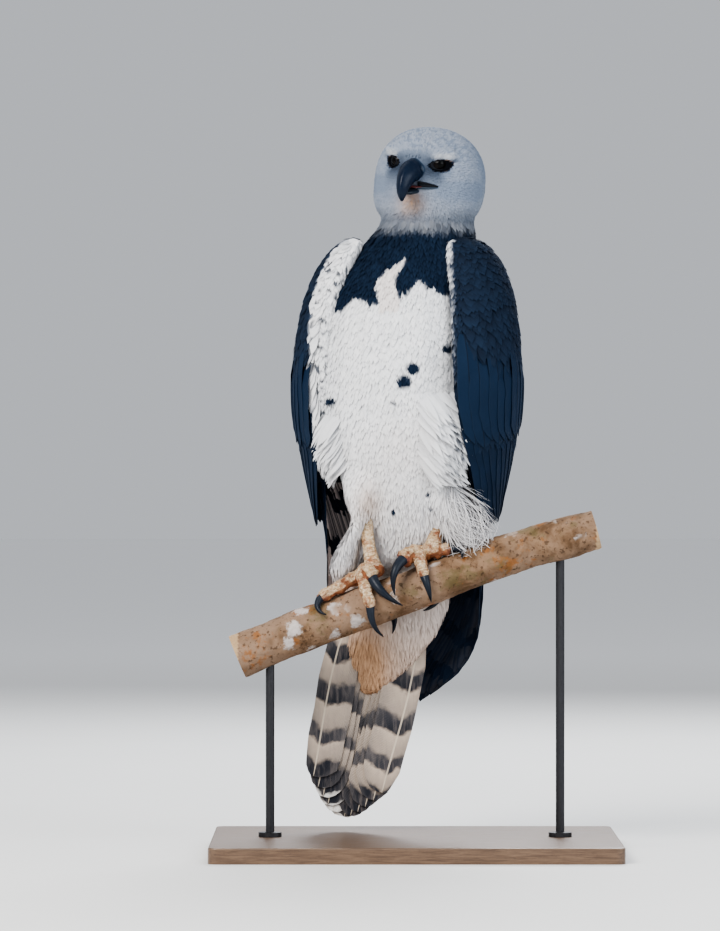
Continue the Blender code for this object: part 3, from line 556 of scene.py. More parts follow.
def headReach(direction, fine=True):
    ahead, side, up = direction.T
    length = np.where(ahead > 0, bird["headFront"], bird["headBack"])
    height = np.where(up > 0, bird["headTop"], bird["headBottom"])
    power = 2.15 + 0.35 * np.maximum(0.0, -up)
    total = np.abs(ahead / length) ** power + np.abs(side / bird["headSide"]) ** power
    reach = (total + np.abs(up / height) ** power) ** (-1 / power)
    for towards, width, swell in headSwellings + (headFeatures if fine else ()):
        aim = stacked(towards[0], np.copysign(towards[1], side), towards[2])
        angle = np.arccos(np.clip((unit(aim) * direction).sum(-1), -1, 1))
        reach = reach + swell * np.exp(-((angle / width) ** 2))
    return reach


def headPoint(around, height, lift):  # degrees from straight back, degrees above level
    a, h = np.radians(around), np.radians(height)
    direction = stacked(-np.cos(a) * np.cos(h), np.sin(a) * np.cos(h), np.sin(h))
    flat = direction.reshape(-1, 3)
    reach = headReach(flat, False).reshape(direction.shape[:-1]) + lift
    return fromHead((direction * reach[..., None]).reshape(-1, 3)).reshape(direction.shape)


eye = {
    "radius": 0.0115, "place": (0.0425, 0.0305, 0.0245), "outward": math.radians(41),
    "sunk": 0.0024, "tilt": 0.10, "shift": 0.0012, "narrow": {1: 1.0, -1: 0.74},
    "bare": (0.0160, 0.0058, 0.0112),  # half width, up, down
}


def eyeAxes(side):
    ahead, out, up = eye["place"]
    turn = eye["outward"]
    outward = unit(np.array([math.cos(turn), math.sin(turn) * side, 0.06]))
    across = np.array([-math.sin(turn), math.cos(turn) * side, 0.0])
    across = alongSurface(across, outward)
    rise = np.cross(outward, across) * side
    return np.array([ahead, out * side, up]) - outward * eye["sunk"], outward, across, rise


def eyeSpot(local, side):  # along the eye's own axis: outwards, back, up, size of the almond
    middle, outward, across, rise = eyeAxes(side)
    away = local - middle
    x, y, depth = (away * across).sum(-1), (away * rise).sum(-1), (away * outward).sum(-1)
    y, x = y - eye["tilt"] * x, (x - eye["shift"]) / eye["narrow"][side]
    wide, high, low = eye["bare"]
    return depth, x, y, np.hypot(x / wide, y / np.where(y > 0, high, low))


# Skin

skinSizes = {
    "voxel": 0.0030, "grow": 0.0006, "headDepth": 0.0026, "neckDepth": 0.0050, "bodyDepth": 0.0080,
    "flank": -0.055, "free": 0.55,  # X that the waist is measured from, share of it left as it is
}
undertail = (  # height, middle along X and Y, half width, half depth
    (0.215, -0.062, 0.094, 0.012, 0.0060), (0.235, -0.056, 0.091, 0.032, 0.0130),
    (0.265, -0.047, 0.087, 0.054, 0.0210), (0.300, -0.038, 0.083, 0.072, 0.0260),
    (0.340, -0.031, 0.083, 0.082, 0.0290), (0.370, -0.026, 0.083, 0.082, 0.0330),
    (0.400, -0.023, 0.078, 0.074, 0.0380),
)
flankLimit = (  # height, then how far to the right side the skin may reach
    (0.34, -0.118), (0.365, -0.112), (0.388, -0.124), (0.409, -0.114), (0.440, -0.090), (0.461, -0.083),
    (0.486, -0.093), (0.519, -0.106), (0.541, -0.122), (0.56, -0.135),
)


def headWeight(place):
    away = np.linalg.norm(place - headAt, axis=-1)
    return smoothStep(0.858, 0.892, place[:, 2]) * smoothStep(0.105, 0.095, away)


def makeSkin():
    bm = bmesh.new()
    for node in ("torso", "neck", "thigh_left", "thigh_right"):
        bm.from_mesh(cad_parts[node].data)
    bmesh.ops.remove_doubles(bm, verts=bm.verts, dist=1e-5)
    bm.normal_update()
    for vertex in bm.verts:
        vertex.co += vertex.normal * skinSizes["grow"]
    turn = np.linspace(0, 2 * math.pi, 25)[:-1]
    rings = []
    for z, x, y, halfWidth, halfDepth in undertail:
        rings.append(bodyTurn(halfWidth * np.cos(turn), halfDepth * np.sin(turn)) + np.array([x, y, z]))
    loft(bm, rings)
    ball = bmesh.ops.create_uvsphere(bm, u_segments=64, v_segments=48, radius=1.0)["verts"]
    direction = unit(np.array([v.co for v in ball]))
    places = fromHead(direction * headReach(direction)[:, None])
    for vertex, spot in zip(ball, places):
        vertex.co = spot
    mesh = remeshed("skin", bm, skinSizes["voxel"], 8)
    points, normals = arraysOf(mesh)
    weight = headWeight(points)
    body, neck = skinSizes["bodyDepth"], skinSizes["neckDepth"]
    depth = body + (neck - body) * smoothStep(0.78, 0.85, points[:, 2])
    depth = depth * (1 - 0.45 * smoothStep(0.44, 0.38, points[:, 2]))
    depth += 0.0018 * lumps(points, 0.045) * (1 - weight)
    shrunk = points - normals * depth[:, None]
    flank, free = skinSizes["flank"], skinSizes["free"]
    waist = through(flankLimit, shrunk[:, 2])[:, 0]
    beyond = np.minimum(shrunk[:, 0] - flank, 0) / np.minimum(waist - flank, -1e-4)
    tight = free + (1 - free) * (1 - np.exp(-(beyond - free) / (1 - free)))
    inZone = smoothStep(0.345, 0.365, shrunk[:, 2]) * smoothStep(0.545, 0.525, shrunk[:, 2])
    slim = shrunk[:, 0] * (1 - inZone) + (flank + (waist - flank) * tight) * inZone
    shrunk[:, 0] = np.where(beyond > free, slim, shrunk[:, 0])
    direction = unit(toHead(points))
    exact = fromHead(direction * (headReach(direction) - skinSizes["headDepth"])[:, None])
    setPoints(mesh, shrunk * (1 - weight[:, None]) + exact * weight[:, None])
    return mesh


skinMesh = makeSkin()
print("skin made:", len(skinMesh.vertices), "points")


# Markings, the same on the skin and on the coat

lowerEdge = (  # X, then the height where the dark breast band ends
    (-0.110, 0.744), (-0.102, 0.745), (-0.080, 0.761), (-0.060, 0.752), (-0.018, 0.762),
    (0.003, 0.784), (0.017, 0.776), (0.035, 0.769), (0.055, 0.765), (0.080, 0.765),
)
creamPatch = (  # height, then its middle along X and its half width
    (0.750, -0.037, 0.013), (0.762, -0.0372, 0.0150), (0.7827, -0.042, 0.0130),
    (0.8006, -0.029, 0.0080), (0.813, -0.0166, 0.0030), (0.818, -0.014, 0.0),
)
blackSpots = (  # X, height, size
    (-0.016, 0.647, 0.0086), (-0.004, 0.665, 0.0080), (0.043, 0.692, 0.0058),
    (-0.128, 0.671, 0.0045), (-0.117, 0.620, 0.0060), (-0.030, 0.618, 0.0036),
    (0.018, 0.493, 0.0034), (0.021, 0.472, 0.0034), (-0.030, 0.468, 0.0026),
)


def bodyMarkings(place, jitter):  # slate, cream and grey shares of the plumage
    x, z = place[:, 0], place[:, 2]
    across, back = roundBody(place)
    turn = np.degrees(np.arctan2(back, np.abs(across)))
    edge = through(lowerEdge, x)[:, 0] + 0.004 * lumps(place, 0.010, 3.0) + jitter * 0.003
    front = turn < 20
    mottle = lumps(place, 0.014, 21.0)
    high = z + jitter * 0.004 + mottle * 0.006
    fade = 0.35 * smoothStep(0.880, 0.868, high) + 0.65 * smoothStep(0.872, 0.848, high)
    band = smoothStep(-0.002, 0.002, z - edge) * fade
    patch = through(creamPatch, z)
    inside = np.abs(x - patch[:, 0]) - patch[:, 1] - 0.0012 * jitter
    white = smoothStep(0.0015, -0.0015, inside) * (z < 0.818) * (z > 0.742)
    band = band * (1 - white * front)
    rear = smoothStep(25, 48, turn + 6 * jitter) * smoothStep(0.22, 0.24, z)
    slate = np.maximum(band, rear * smoothStep(0.895, 0.865, high))
    for spotX, spotZ, size in blackSpots:
        away = np.hypot(x - spotX, (z - spotZ) * 1.15) + 0.0010 * jitter
        slate = np.maximum(slate, smoothStep(size * 1.30, size * 1.05, away) * (turn < 0))
    flank = smoothStep(0.020, 0.060, np.abs(across)) * smoothStep(0.56, 0.50, z)
    lines = np.sin(z * 2 * math.pi / 0.011 + x * 90 + 1.2 * lumps(place, 0.02, 9.0)) > 0.72
    slate = np.maximum(slate, 0.85 * lines * (x > 0.045) * (z > 0.510) * (z < 0.606))
    slate = np.maximum(slate, 0.50 * lines * flank * smoothStep(0, 20, turn) * (z < 0.5) * (z > 0.40))
    cream = 0.02 + 0.13 * smoothStep(0.62, 0.40, z) + white * front * 0.22
    cream += 0.40 * bump(z, 0.480, 0.030) * bump(x, -0.065, 0.018)
    cream += 0.10 * bump(z, 0.56, 0.05) * bump(x, -0.02, 0.04)
    underTail = 0.58 * smoothStep(0.400, 0.345, z) + 0.40 * smoothStep(0.330, 0.250, z)
    cream += underTail * (0.50 + 0.50 * bump(x, -0.070, 0.036))
    grey = 0.04 + 0.10 * smoothStep(0.03, 0.09, np.abs(across)) + 0.05 * jitter
    grey += 0.75 * smoothStep(0.842, 0.872, z) + 0.20 * (x < -0.085) * smoothStep(0.45, 0.42, z)
    return stacked(slate, np.clip(cream, 0, 1), np.clip(grey, 0, 1))


def headMarkings(place, jitter):
    local = toHead(place)
    ahead, side, up = unit(local).T
    crown = smoothStep(0.30, 0.75, up)
    mottle = lumps(place, 0.0060, 5.0) + 0.6 * jitter
    # the crown's paler base grey is a painted highlight; the darker mottle over it is the feathers' own
    grey = 0.90 - 0.06 * crown + 0.22 * smoothStep(-0.2, 0.9, mottle) * (0.3 + crown)
    rear = smoothStep(0.25, -0.55, ahead)
    grey += 0.20 * rear * smoothStep(-0.3, 0.5, up)
    # painted shade: greyer along the cheek crease below the eye, where shade falls in the fold
    creaseShade = bump(up, -0.13, 0.12) * smoothStep(0.86, 0.74, ahead)
    grey += 0.34 * creaseShade * smoothStep(-0.25, 0.15, ahead)
    grey -= 0.10 * smoothStep(-0.30, -0.62, up)
    slate = 0.40 * smoothStep(0.35, 0.9, mottle) * crown * rear
    bare = np.zeros(len(place))
    for which in (1, -1):
        depth, x, y, size = eyeSpot(local, which)
        near = (depth > -0.012) & (local[:, 1] * which > 0)
        slate = np.maximum(slate, near * smoothStep(1.22, 1.02, size + 0.03 * jitter))
        bare = np.maximum(bare, near * smoothStep(1.03, 0.97, size))
        streak = bump(y, 0.0030, 0.0022) * smoothStep(0.010, 0.012, x) * smoothStep(0.027, 0.019, x)
        slate = np.maximum(slate, 0.75 * near * streak)
        above = bump(y, 0.0100, 0.0050) * smoothStep(-0.022, -0.004, x) * smoothStep(0.026, 0.006, x)
        below = bump(y, -0.0130, 0.0045) * bump(x, -0.002, 0.012)
        grey = grey * (1 - 0.46 * above * near) + 0.40 * below * near
    lore = bump(up, 0.25, 0.26) * smoothStep(0.70, 0.84, ahead)
    slate = np.maximum(slate, 0.80 * lore)
    grey = grey + 0.5 * lore
    fleck = bump(up, 0.52, 0.07) * smoothStep(0.80, 0.86, ahead) * (lumps(place, 0.0022, 2.0) > 0.18)
    slate = np.maximum(slate, 0.75 * fleck)
    chin = smoothStep(0.35, 0.70, ahead) * bump(up, -0.47, 0.24) * bump(side, 0.0, 0.24)
    cream = np.maximum(0.03 + 0.85 * chin * (0.75 + 0.25 * np.clip(mottle, -1, 1)), bare)
    return np.clip(stacked(np.maximum(slate, 0.22 * chin), cream, grey), 0, 1)


def markings(place, jitter):
    weight = headWeight(place)[:, None]
    marks = headMarkings(place, jitter) * weight + bodyMarkings(place, jitter) * (1 - weight)
    height = place[:, 2] + 0.005 * lumps(place, 0.014, 21.0)
    marks[:, 0] = np.maximum(marks[:, 0], 0.60 * smoothStep(0.894, 0.862, height) * (height > 0.845))
    softer = 1 - 0.42 * smoothStep(0.846, 0.872, height) * (height < 0.895)
    marks[:, 0] = np.minimum(marks[:, 0], softer)
    return marks


def markUnder(mesh, marksAt):  # the coat's markings, on what it grows from
    points = arraysOf(mesh)[0]
    setAttribute(mesh, "mark", marksAt(points, np.zeros(len(points))))
    setAttribute(mesh, "vane", (0.3, 0.3, 0.3))


markUnder(skinMesh, markings)
skinNodes = ("torso", "neck", "thigh_left", "thigh_right", "head")
skin = finished("skin", skinMesh, plumage, skinNodes)
print("skin marked")


# Coats: closed tapering vanes, rooted in a skin and laid along it

def closedVanes(lines, sides, ups, widths, ridge):
    count, rows = lines.shape[0], lines.shape[1] - 1
    body, out = lines[:, :-1], sides[:, :-1] * widths[..., None]
    crest = body + ups[:, :-1] * (widths * ridge)[..., None]
    points = np.stack([body - out, crest, body + out], 2).reshape(count, rows * 3, 3)
    points = np.concatenate([points, lines[:, -1:]], 1)
    faces = [(0, 2, 1)]
    for r in range(rows - 1):
        a, b, c, d, e, f = range(3 * r, 3 * r + 6)
        for low, high, above, over in ((a, b, e, d), (b, c, f, e), (c, a, d, f)):
            faces += [(low, high, above), (low, above, over)]
    a, b, c, tip = range(3 * rows - 3, 3 * rows + 1)
    faces += [(a, b, tip), (b, c, tip), (c, a, tip)]
    across = np.tile([-1.0, 0.0, 1.0], rows)
    return points, np.array(faces), np.append(across, 0.0)


def scattered(mesh, spacing, keep):  # roots spread over a skin, about one to each cell
    mesh.calc_loop_triangles()
    corners = np.empty(len(mesh.loop_triangles) * 3, np.int32)
    mesh.loop_triangles.foreach_get("vertices", corners)
    corners = corners.reshape(-1, 3)
    points, normals = arraysOf(mesh)
    corners = corners[keep(points[corners].mean(1))]
    a, b, c = points[corners[:, 0]], points[corners[:, 1]], points[corners[:, 2]]
    area = np.linalg.norm(np.cross(b - a, c - a), axis=1) / 2
    count = int(area.sum() / spacing**2 * 6)
    pick = draw.choice(len(corners), count, p=area / area.sum())
    u, v = draw.random((2, count))
    flip = u + v > 1
    u[flip], v[flip] = 1 - u[flip], 1 - v[flip]
    w = 1 - u - v
    places = a[pick] * w[:, None] + b[pick] * u[:, None] + c[pick] * v[:, None]
    mixed = [normals[corners[pick, k]] * s[:, None] for k, s in enumerate((w, u, v))]
    cell = np.floor(places / spacing + 0.37).astype(np.int64)
    key = (cell[:, 0] * 4001 + cell[:, 1]) * 4001 + cell[:, 2]
    _, first = np.unique(key, return_index=True)
    first = draw.permutation(first)
    return places[first], unit(sum(mixed))[first]


def traced(tree, starts, normals, lengths, steps, lieAt, wander):
    here, up = starts, normals
    heading = alongSurface(lieAt(here, up), up)
    heading = alongSurface(heading + np.cross(up, heading) * wander[:, None], up)
    lines, ups, ways = [here], [up], [heading]
    for _ in range(steps):
        ahead = here + heading * (lengths / steps)[:, None]
        found = [tree.find_nearest(p) for p in ahead.tolist()]
        here = np.array([f[0] for f in found])
        up = unit(np.array([f[1] for f in found]) + up * 0.6)
        heading = alongSurface(heading * 0.7 + alongSurface(lieAt(here, up), up) * 0.3, up)
        lines.append(here)
        ups.append(up)
        ways.append(heading)
    return [np.stack(steps_, 1) for steps_ in (lines, ups, ways)]


def headUnwrap(place):
    way = unit(toHead(place))
    round_ = np.arctan2(way[:, 1], way[:, 2]) / (2 * math.pi) + 0.5
    return stacked(round_, np.arccos(np.clip(way[:, 0], -1, 1)) / math.pi)


def bodyUnwrap(place, low=0.18, high=1.04):
    across, back = roundBody(place)
    round_ = np.arctan2(across, -back) / (2 * math.pi) + 0.5
    return stacked(round_, (place[:, 2] - low) / (high - low))


def vaneValues(over, t, chance):  # across, along and chance at every point of closed vanes
    along = np.append(np.repeat(t[:-1], 3), 1.0)
    return stacked(np.tile(over, len(chance)), np.tile(along, len(chance)), np.repeat(chance, len(over)))


def nearRoot(roots, vane, wide, high):  # each vane unwrapped over a little of the square
    spread = stacked(vane[:, 0] * wide, (vane[:, 1] - 0.5) * high)
    return np.repeat(roots, len(vane) // len(roots), 0) + spread


def joined(pieces):  # points by vane and one vane's faces, then what each point has
    layers, start = [], 0
    for points, template, *rest in pieces:
        count, each = points.shape[:2]
        faces = template + (np.arange(count) * each + start)[:, None, None]
        layers.append((points.reshape(-1, 3), faces.reshape(-1, 3), *rest))
        start += count * each
    return [np.concatenate(layer) for layer in zip(*layers)]


coatDefaults = {
    "wander": 0.14, "vary": 0.18, "steps": 3, "curl": 1.15, "sink": -0.0008, "sway": 0.0, "tilt": 0.22,
    "ridge": 0.25, "blend": 0.35, "shape": lambda place: 1.0, "unwrap": bodyUnwrap, "marks": markings,
    "most": 190000,  # triangles in one piece
}


def growCoat(name, mesh, tree, settings, keep, lieAt):
    coat = coatDefaults | settings
    roots, normals = scattered(mesh, coat["spacing"], keep)
    count, steps = len(roots), coat["steps"]
    chance = draw.random(count)
    jitter = draw.normal(0, 1, count).clip(-2, 2) * 0.5
    vary = 1 + coat["vary"] * draw.uniform(-1, 1, count)
    shape = coat["shape"](roots)
    wander = coat["wander"] * draw.normal(0, 1, count)
    lines, ups, ways = traced(tree, roots, normals, coat["length"] * vary * shape, steps, lieAt, wander)
    t = np.linspace(0, 1, steps + 1)
    lift = coat["lift"] * (0.8 + 0.4 * draw.random(count)) * shape
    lines = lines + ups * (coat["sink"] + lift[:, None] * t ** coat["curl"])[..., None]
    sides = np.cross(ways, ups)
    lines = lines + sides * (coat["sway"] * draw.normal(0, 1, (count, 1)) * t**2)[..., None]
    sides = unit(sides + ups * (coat["tilt"] * draw.normal(0, 1, (count, 1, 1))))
    ups = unit(np.cross(sides, ways))
    widths = coat["halfWidth"] * vary[:, None] * np.array(coat["profile"])
    points, template, over = closedVanes(lines, sides, ups, widths, coat["ridge"])
    each, blend = len(over), coat["blend"]
    whole = np.repeat(lines[:, -2] * 0.6 + lines[:, -1] * 0.4, each, 0)
    marks = coat["marks"](whole * (1 - blend) + points.reshape(-1, 3) * blend, np.repeat(jitter, each))
    vane = vaneValues(over, t, chance)
    uv = nearRoot(coat["unwrap"](roots), vane, 0.0014, 0.0028)
    share = math.ceil(count * len(template) / coat["most"])
    for k in range(share):
        some = slice(count * k // share, count * (k + 1) // share)
        part = slice(some.start * each, some.stop * each)
        label = name if share == 1 else f"{name}_{k + 1}"
        layers = joined([(points[some], template, uv[part], vane[part], marks[part])])
        finished(label, meshOf(label, *layers), plumage, angle=58)
    print(name, count, "vanes,", count * len(template), "triangles")


skinTree = BVHTree.FromObject(skin, bpy.context.evaluated_depsgraph_get())
surfaces = [skinTree]  # what the feathers of the back lie on; both arms of the wings join it
billRoot = fromHead(np.array([[0.060, 0.0, 0.010]]))[0]
downwards = np.array([0.0, 0.0, -1.0])


def bodyLie(place, normal):
    outward = unit(bodyTurn(*roundBody(place)))
    spread = smoothStep(0.80, 0.60, place[:, 2]) * smoothStep(0.42, 0.52, place[:, 2])
    down = downwards + outward * (0.15 * spread)[:, None]
    away = alongSurface(place - billRoot, normal)
    ahead = unit(toHead(place))[:, 0]
    share = headWeight(place) * (0.30 + 0.70 * smoothStep(-0.55, 0.25, ahead))
    return alongSurface(down, normal) * (1 - share[:, None]) + away * share[:, None]


def wingAngle(place):  # degrees from the body's side towards its back
    across, back = roundBody(place)
    return np.degrees(np.arctan2(back, np.abs(across)))


def coveredByWing(place):
    turn, z = wingAngle(place), place[:, 2]
    return (turn > -22) & (turn < 58) & (z > 0.47) & (z < 0.80)


gape = {  # where the head is bare and how long its cords are, in degrees
    "height": -0.0066, "halfHeight": 0.0064, "reach": {1: 34.0, -1: 20.0}, "cord": {1: 25, -1: 9},
    "first": 9, "level": -0.090, "sunk": 0.0018, "taper": 0.72,
}


def bareFace(place):
    ahead, across, up = toHead(place).T
    bare = (ahead > 0.050) & (np.abs(across) < 0.0165) & (up > -0.017) & (up < 0.0275)
    for side in (1, -1):
        depth, _, _, size = eyeSpot(toHead(place), side)
        bare |= (depth > -0.012) & (across * side > 0) & (size < 1)
    turn = np.degrees(np.arctan2(np.abs(across), ahead))
    reach = np.where(across > 0, gape["reach"][1], gape["reach"][-1])
    narrow = gape["halfHeight"] * (1 - 0.55 * turn / reach)
    return bare | (turn < reach) & (np.abs(up - gape["height"]) < narrow)


def headShape(place):
    ahead, _, up = unit(toHead(place)).T
    return 0.55 + 0.45 * smoothStep(0.85, 0.30, ahead) + 0.25 * smoothStep(-0.2, -0.6, up)


coats = {
    "head": {
        "spacing": 0.0022, "length": 0.0088, "halfWidth": 0.00155, "lift": 0.0025, "steps": 3,
        "profile": (0.55, 1.0, 0.85), "shape": headShape, "unwrap": headUnwrap, "ridge": 0.26,
        "sink": -0.0004, "tilt": 0.16, "blend": 0.2,
    },
    "collar": {
        "spacing": 0.0038, "length": 0.0200, "halfWidth": 0.0036, "lift": 0.0044, "steps": 3,
        "profile": (0.60, 1.0, 0.90), "wander": 0.10, "tilt": 0.12, "ridge": 0.18,
    },
    "breast": {
        "spacing": 0.0044, "length": 0.0280, "halfWidth": 0.0050, "lift": 0.0050, "steps": 4,
        "profile": (0.55, 0.95, 1.0, 0.74), "wander": 0.08, "vary": 0.18, "tilt": 0.05, "ridge": 0.09,
        "blend": 0.60,
    },
    "thigh": {
        "spacing": 0.0040, "length": 0.0250, "halfWidth": 0.0030, "lift": 0.0062, "steps": 4,
        "profile": (0.60, 1.0, 0.90, 0.62), "wander": 0.14, "vary": 0.28, "sway": 0.0014, "tilt": 0.12,
        "ridge": 0.15,
    },
    "flank": {
        "spacing": 0.0046, "length": 0.0500, "halfWidth": 0.0050, "lift": 0.0230, "steps": 5,
        "profile": (0.50, 0.90, 1.0, 0.90, 0.60), "wander": 0.12, "vary": 0.25, "sway": 0.0030,
        "tilt": 0.12, "ridge": 0.12, "blend": 0.8, "curl": 1.0,
    },
    "wisps": {
        "spacing": 0.0062, "length": 0.0480, "halfWidth": 0.00085, "lift": 0.0320, "steps": 6,
        "profile": (1.0, 1.0, 0.9, 0.8, 0.65, 0.45), "wander": 0.60, "vary": 0.40, "sway": 0.0130,
        "tilt": 0.3, "ridge": 0.7, "curl": 0.9,
    },
    "mantle": {
        "spacing": 0.0085, "length": 0.0420, "halfWidth": 0.0088, "lift": 0.0090, "steps": 4,
        "profile": (0.55, 0.95, 1.0, 0.80), "wander": 0.08,
    },
}


def outwardLie(place, _):
    return downwards + bodyTurn(np.sign(roundBody(place)[0]), 0.0) * 0.75


for coatName, coatKey, coatSlot, coatLie, coatZone in (
    ("head_feathers", "head", "plumage_grey", bodyLie, lambda p: (headWeight(p) > 0.35) & ~bareFace(p)),
    ("collar_feathers", "collar", "plumage_slate", bodyLie,
     lambda p: (headWeight(p) <= 0.5) & (p[:, 2] > 0.745) & ~coveredByWing(p)),
    ("breast_feathers", "breast", "plumage_white", bodyLie,
     lambda p: (p[:, 2] <= 0.760) & (p[:, 2] > 0.50) & (wingAngle(p) < 60) & ~coveredByWing(p)),
    ("thigh_feathers", "thigh", "plumage_white", bodyLie,
     lambda p: (p[:, 2] <= 0.515) & (wingAngle(p) < 75)),
    ("mantle_feathers", "mantle", "plumage_slate", bodyLie,
     lambda p: (p[:, 2] < 0.85) & (p[:, 2] > 0.30) & (wingAngle(p) > 48)),
    ("flank_tufts", "flank", "plumage_white", outwardLie,
     lambda p: (p[:, 2] < np.where(p[:, 0] > 0, 0.640, 0.608)) & (p[:, 2] > 0.545)
     & (wingAngle(p) > np.where(p[:, 0] > 0, -68, -56)) & (wingAngle(p) < -34)),
    ("thigh_wisps", "wisps", "plumage_white", outwardLie,
     lambda p: (p[:, 0] > 0.040) & (p[:, 2] > 0.43) & (p[:, 2] < 0.52) & (wingAngle(p) < 20)),
):
    growCoat(coatName, skinMesh, skinTree, coats[coatKey], coatZone, coatLie)


# Wings

wing = {
    "stations": (  # height, middle along X and Y, half width, half depth
        (0.200, -0.020, 0.127, 0.062, 0.030), (0.240, -0.018, 0.121, 0.090, 0.036),
        (0.293, -0.015, 0.112, 0.110, 0.046), (0.348, -0.012, 0.103, 0.117, 0.058),
        (0.417, -0.011, 0.087, 0.127, 0.074), (0.486, -0.011, 0.068, 0.140, 0.093),
        (0.555, -0.011, 0.048, 0.152, 0.113), (0.624, -0.011, 0.034, 0.160, 0.127),
        (0.693, -0.010, 0.026, 0.158, 0.133), (0.762, -0.008, 0.020, 0.148, 0.126),
        (0.817, -0.004, 0.014, 0.128, 0.109), (0.858, 0.002, 0.010, 0.108, 0.090),
    ),
    "edges": (  # height, angles of the front and back edges
        (0.205, 30, 160), (0.265, 16, 140), (0.348, 0, 104), (0.400, -8, 82), (0.430, -14, 80),
        (0.486, -27, 79), (0.555, -42, 78), (0.620, -50, 78), (0.860, -50, 78),
    ),
    "skin": ((0.40, -0.008), (0.50, -0.008), (0.62, -0.005), (0.74, 0.0), (0.90, 0.0)),
    "limit": 88, "lead": {1: 2.0, -1: 9.0}, "topFront": 0.852, "topBack": 0.800, "low": 0.510,
    "thick": (0.046, 0.020), "voxel": 0.0040, "soften": 4,
}
tiers = {
    "flight": {
        "count": 26, "root": 0.548, "halfWidth": 0.0175, "thick": 0.0007, "step": 0.00135,
        "lifts": ((0.0, -0.010), (0.4, -0.0095), (0.62, -0.003), (1.0, 0.001)),
        "tier": 0.0, "stray": 0.0,
    },
    "greater": {
        "count": 20, "root": 0.640, "halfWidth": 0.0170, "thick": 0.0007, "step": 0.0014,
        "lifts": ((0.0, -0.010), (0.22, 0.0032), (1.0, 0.0036)),
        "tier": 0.4, "stray": 0.0,
    },
    "median": {
        "count": 20, "root": 0.702, "halfWidth": 0.0160, "thick": 0.0007, "step": 0.0014,
        "lifts": ((0.0, -0.008), (0.24, 0.0036), (0.55, 0.0062), (1.0, 0.0080)),
        "tier": 0.7, "stray": 0.016,
    },
}


def wingPoint(side, z, angle, lift):
    x, y, halfWidth, halfDepth = np.moveaxis(through(wing["stations"], z), -1, 0)
    a = np.radians(angle)
    across, back = halfWidth * np.cos(a), halfDepth * np.sin(a)
    out, rear = halfDepth * np.cos(a), halfWidth * np.sin(a)
    size = np.hypot(out, rear)
    across, back = across + out / size * lift, back + rear / size * lift
    return stacked(x, y, z) + bodyTurn(across * side, back)


def wingSkin(z):
    return through(wing["skin"], z)[..., 0]


def flightTip(index):  # from the outermost primary inwards, in places of the 14 of the solids
    place = index * 13 / (tiers["flight"]["count"] - 1)
    return np.where(place < 5, 0.207 + 0.0023 * (5 - place) ** 2, 0.207 + 0.0185 * (place - 5))


def slabFaces(rows, columns):  # one slab's triangles, its points a grid given twice
    back = rows * columns
    faces = []
    for r in range(rows - 1):
        for c in range(columns - 1):
            a, b = r * columns + c, r * columns + c + 1
            d, e = a + columns, b + columns
            faces += [(a, b, e), (a, e, d), (a + back, e + back, b + back), (a + back, d + back, e + back)]
    rim = [(0, c) for c in range(columns)] + [(r, columns - 1) for r in range(1, rows)]
    rim += [(rows - 1, c) for c in range(columns - 2, -1, -1)] + [(r, 0) for r in range(rows - 2, 0, -1)]
    ids = [r * columns + c for r, c in rim]
    for a, b in zip(ids, ids[1:] + ids[:1]):
        faces += [(a, a + back, b + back), (a, b + back, b)]
    return np.array(faces)


def slabLayers(steps, t, chance):  # which face, the unwrap and the vane values of slabs
    count = len(chance)
    shape = (count, 2, len(t), len(steps))
    across, along = np.broadcast_to(steps, shape), np.broadcast_to(t[:, None], shape)
    face = np.broadcast_to(np.array([0.0, 1.0])[:, None, None], shape)
    strip = np.arange(count)[:, None, None, None] + 0.5
    uv = stacked((strip + across * 0.42) / count, 0.25 + 0.5 * face + (along - 0.5) * 0.46)
    return face, uv.reshape(-1, 2), stacked(across, along, chance[:, None, None, None]).reshape(-1, 3)


def roundedTip(t, start, reach, root, swell):  # half width along a vane
    tip = np.sqrt(np.clip(1 - (np.maximum(t - start, 0) / reach) ** 2, 0, 1))
    return np.minimum(1.0, root + swell * t) * tip


